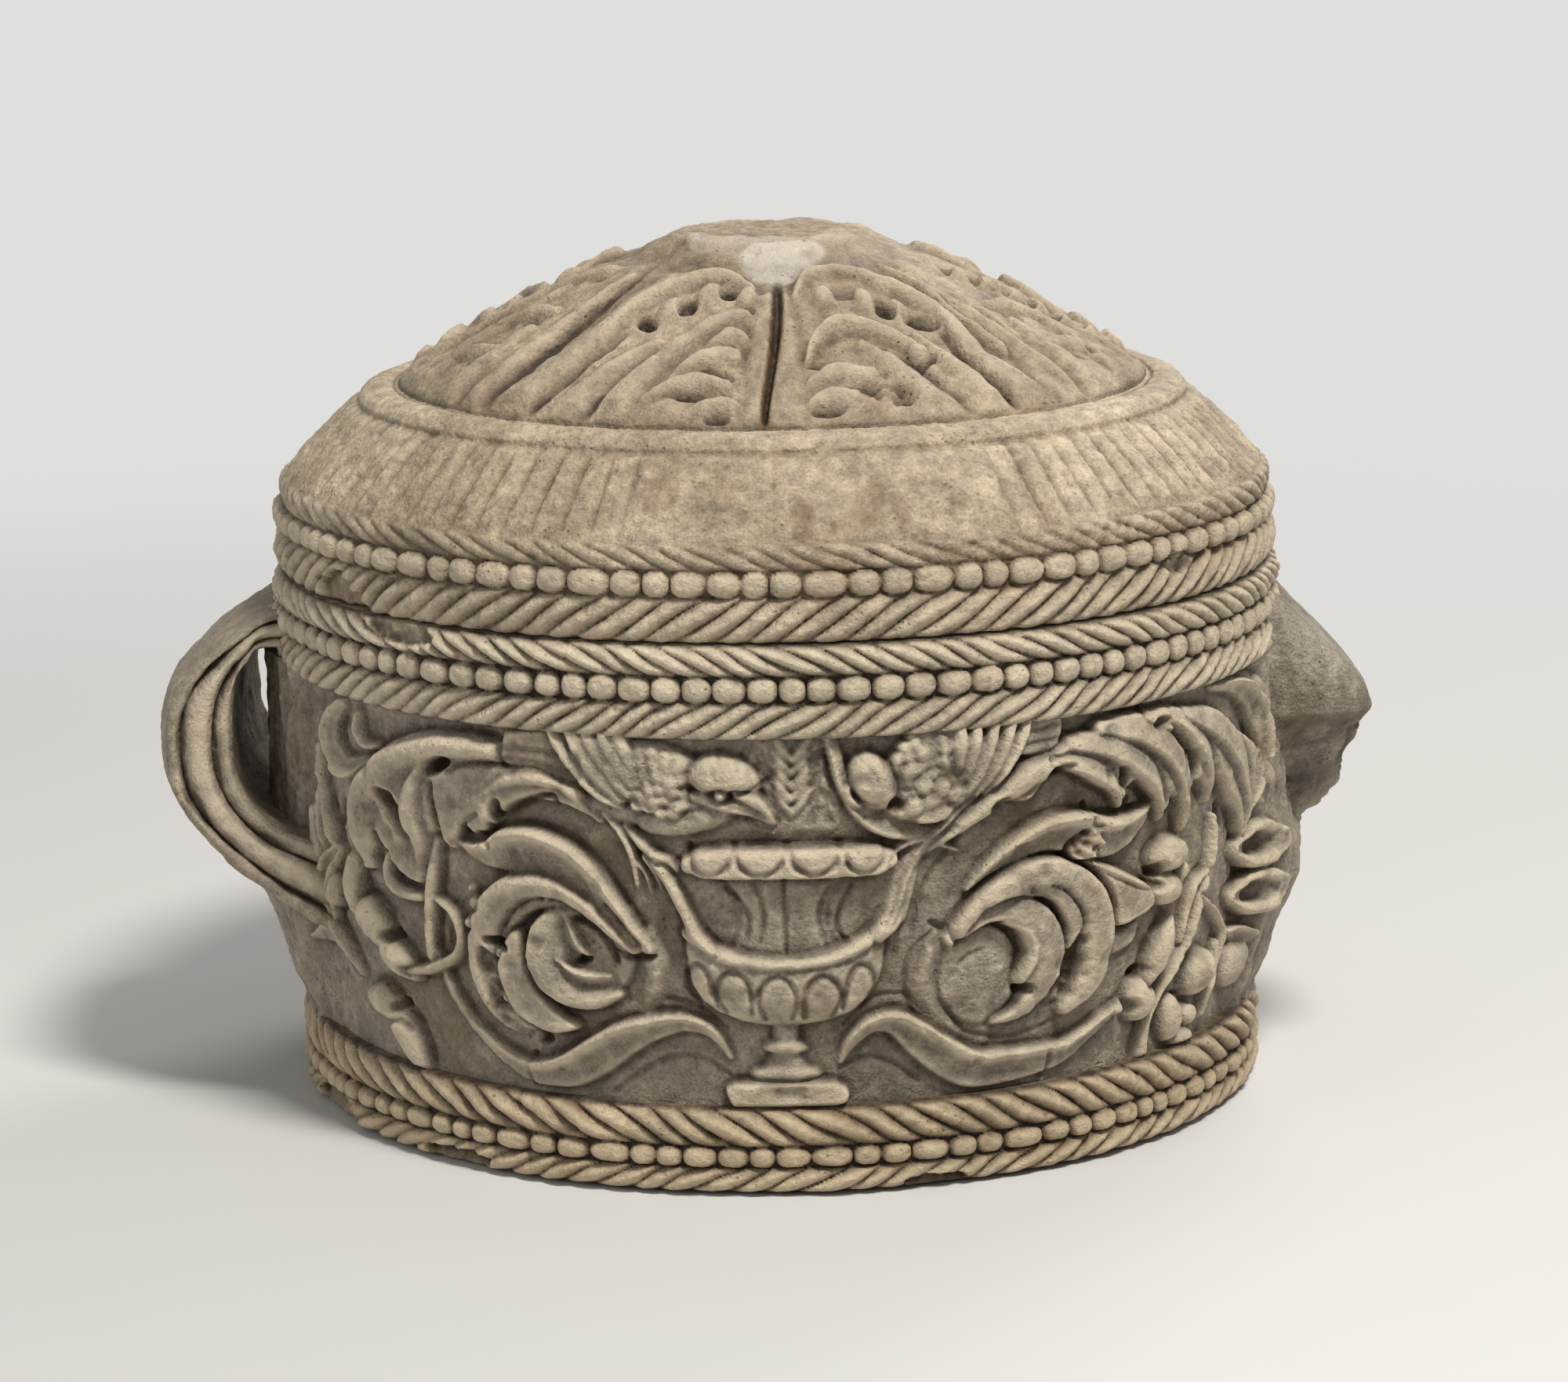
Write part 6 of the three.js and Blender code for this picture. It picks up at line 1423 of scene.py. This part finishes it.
def carve_dome(c):
    for middle, turn in ((-165, 1), (165, -1), (-385, 1), (385, -1)):
        carve_side_leaf(c, middle, turn, pierced=middle == 165)
    along = c.along
    for shift, carve in ((0, carve_left_leaf), (0, carve_right_leaf), (220, carve_right_leaf),
            (-220, carve_left_leaf)):
        c.along = along - shift
        carve(c)
    c.along = along
    # the ridge where two leaves meet, flutes between the others, and two slots
    c.band([(112, 52, 2.4, 3.6), (115, 68, 3.4, 5.4), (114, 88, 3.4, 5.6), (118, 104, 2.4, 4.6)], keep=0.8)
    for x in (-119, 124, -220, 220, -330, 330, 439):
        c.cut([(x, 60, 2.0), (x, 84, 3.0), (x, 128, 4.0)], 2.0)
    c.drill(136, 93, 2.4, 5, 5.4, tilt=10)
    c.drill(173, 113, 2.6, 5, 5.4, tilt=10)
    # the groove in the middle of the front, straight and narrow, and what has run down it
    c.plate([(-13, 68), (-12, 131), (12, 131), (13, 68)], 2.6, bevel=6, keep=0.9, moat=0)
    c.cut([(4.6, 60, 2.2), (4.2, 70, 3.2), (2.4, 86, 2.6), (0.6, 98, 2.0), (-1.2, 110, 1.6), (-2.4, 121, 1.4),
        (-2.8, 131, 1.2)], 5.6)
    spot, off, _ = c.beside(c.curve([(4.4, 67, 5, 0), (4, 76, 5, 0), (1.6, 92, 4, 0), (-1.2, 112, 3, 0),
        (-2.6, 131, 2, 0)]), 12)
    place = np.stack([along[spot], c.up[spot], np.full(spot.size, 9.0)], -1)
    run_off = 1.0 - np.abs(off) / np.interp(c.up[spot], [66, 131], [8, 4.6]) + 0.5 * cloudy(place, 6, 61)
    c.rust[spot] = np.maximum(c.rust[spot], np.clip(run_off * 1.5, 0, 0.75))
    # mended with plaster above it, and a paler break along the front of the top
    out, around_front = c.up, along * np.clip(c.up, 1, None) / POLAR_RADIUS
    place = np.stack([around_front, out, np.full(out.size, 5.0)], -1)
    patch = (((around_front - 2) / np.interp(out, [34, 44, 54, 62], [17, 16, 11, 5])) ** 2
             + np.clip((out - 57) / 4, 0, 9) ** 2 + np.clip((38 - out) / 4, 0, 9) ** 2)
    paler = ((around_front + 4) / 36) ** 2 + ((out - 33) / 9) ** 2
    front = np.cos(along / POLAR_RADIUS) > -0.2
    c.fresh[:] = np.maximum(np.clip((1 - patch + 0.4 * cloudy(place, 6, 62)) * 1.5, 0, 0.85),
        np.clip((1 - paler + 0.5 * cloudy(place, 7, 63)) * 0.8, 0, 0.38)) * front
    c.depth *= np.interp(c.up, [38, 48, 56, 70], [0, 0.2, 0.7, 1]) * np.interp(np.abs(along), [112, 135], [1, 0.86])


# outline of the dome: radius and height, from under the fillet up to the break on top
dome_outline = np.array([(0, 299.9), (20, 299.8), (31, 299.4), (35, 298.4), (37.5, 296.4), (41, 294.8), (48, 291.2),
    (60, 287.0), (70, 282.4), (80, 276.8), (90, 271.6), (100, 266.4), (110, 261), (120, 255.5), (126, 251.8),
    (130, 249.4), (131, 248.6)])


def dome_half(side, along_cells, out_cells):
    """Half of the dome as a sheet of cells that fits a half disc, with the marks of its carving."""
    u = np.linspace(-1, 1, along_cells + 1)
    v = np.linspace(0, 1, out_cells + 1)
    grid_u, grid_v = np.meshgrid(u, v)
    x = DOME_EDGE * grid_u * np.sqrt(1 - grid_v ** 2 / 2)
    y = side * DOME_EDGE * grid_v * np.sqrt(1 - grid_u ** 2 / 2)
    out = np.hypot(x, y)
    carving = Carving(np.arctan2(x, -y) * POLAR_RADIUS, np.maximum(out, 0.01))
    carve_dome(carving)
    cell = DOME_EDGE * 2 / along_cells
    depth = softened(np.clip(carving.depth.reshape(x.shape), -4.5, 9.6), 0.62 / cell)
    flat = np.stack([x, y, np.full_like(x, 250.0)], -1)
    ground = np.interp(out, dome_outline[:, 0], dome_outline[:, 1])
    worn = (0.6 * cloudy(flat, 12, 71) + 0.36 * cloudy(flat, 5, 72) + 0.24 * cloudy(flat, 2.4, 73)
            + 0.13 * cloudy(flat, 1.3, 74))
    losses = 2.2 * np.clip(cloudy(flat, 9, 75) - 0.45, 0, 1)
    # the break on top is rough, and the leaves end just inside the fillet
    fade = np.interp(out, [30, 42, 50, 126, 130.4, 131], [0, 0.4, 1, 1, 0.25, 0])
    rough = np.interp(out, [0, 32, 42], [1, 1, 0]) * (0.6 * cloudy(flat, 14, 76) + 0.4 * cloudy(flat, 3.4, 77) - 0.4)
    edge = np.interp(out, [126, 131], [1, 0.1])
    height = (ground - np.interp(out, [40, 60, 100, 131], [0, 0.8, 1.2, 0]) + (depth * 0.93 - losses) * fade
              + worn * edge + rough)
    marks = hollows_and_crests(height, cell, 2.4, 1.5)
    # low places between the leaves are darkened further: soil and painted shade
    marks["recess"] = np.clip(marks["recess"] + np.clip((1.4 - depth) / 5, 0, 0.35) * fade, 0, 1)
    marks["rust"], marks["fresh"] = carving.rust.reshape(x.shape), carving.fresh.reshape(x.shape)
    return np.stack([x, y, height], -1), marks


def dome_piece(name, side, along_cells, out_cells):
    """Half of the dome, closed down inside the fillet and across above the hollow of the lid."""
    top, marks = dome_half(side, along_cells, out_cells)
    rows, columns = top.shape[:2]
    at = np.arange(rows * columns).reshape(rows, columns)
    border = np.concatenate([at[0, :], at[1:, -1], at[-1, -2::-1], at[-2:0:-1, 0]])
    points = top.reshape(-1, 3)
    edge = points[border]
    out = np.hypot(edge[:, 0], edge[:, 1])
    hollow = LID_FOOT + HOLLOW_HEIGHT * np.sqrt(np.clip(1 - (out / HOLLOW_RADIUS) ** 2, 0, 1)) + STONE_OVER_HOLLOW
    low = np.stack([edge[:, 0], edge[:, 1], np.minimum(np.maximum(hollow, 236), edge[:, 2] - 2)], -1)
    base = len(points)
    middle = base + len(border)
    points = np.vstack([points, low, [[0, side * 52.0, 262.0]]])
    a, b = at[:-1, :-1].ravel(), at[:-1, 1:].ravel()
    c, d = at[1:, 1:].ravel(), at[1:, :-1].ravel()
    top_faces = np.stack([a, b, c, d], -1)
    n = np.arange(len(border))
    after = (n + 1) % len(border)
    walls = np.stack([border[after], border[n], base + n, base + after], -1)
    fan = np.stack([base + after, base + n, np.full(len(border), middle)], -1)
    faces = [tuple(face) for part in (top_faces, walls, fan) for face in part.tolist()]
    if side < 0:
        faces = [face[::-1] for face in faces]
    mesh = bpy.data.meshes.new(name)
    mesh.from_pydata((points * MM).tolist(), [], faces)
    mesh.polygons.foreach_set("use_smooth", np.ones(len(faces), bool))
    mesh.update()
    piece = object_of(name, mesh, marks, dome_marble)
    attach(piece, "lid")
    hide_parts("lid")


DOME_CELLS = 420
dome_piece("dome_front", -1, DOME_CELLS, 210)
dome_piece("dome_back", 1, DOME_CELLS, 110)


# Lid's underside: the shallow hollow above the ashes and the register, a ring that drops into
# the bowl's mouth and keeps the lid in its place.
REGISTER_RADIUS, REGISTER_INSIDE, REGISTER_FOOT = 139.5, 129.5, 177.0
SHELL_DEPTH = 3
hollow = [(REGISTER_INSIDE * math.sin(turn), LID_FOOT + HOLLOW_HEIGHT * math.cos(turn))
          for turn in np.linspace(0, math.pi / 2, 26)]
shell = [((REGISTER_INSIDE + SHELL_DEPTH) * math.sin(turn), LID_FOOT + (HOLLOW_HEIGHT + SHELL_DEPTH) * math.cos(turn))
         for turn in np.linspace(0, 1.33, 22)]
register = [(REGISTER_INSIDE, 184), (REGISTER_INSIDE + 0.4, REGISTER_FOOT + 0.6),
            (REGISTER_INSIDE + 1, REGISTER_FOOT), (REGISTER_RADIUS - 1, REGISTER_FOOT),
            (REGISTER_RADIUS - 0.3, REGISTER_FOOT + 0.7),
            (REGISTER_RADIUS, 184.8), (REGISTER_RADIUS + 0.4, LID_FOOT), (160.6, LID_FOOT), (160.6, 200), (140, 215)]
turned_piece("lid_inside", hollow + register + shell[::-1], 180, inside_marble, "lid", "lid")

bpy.context.view_layer.update()
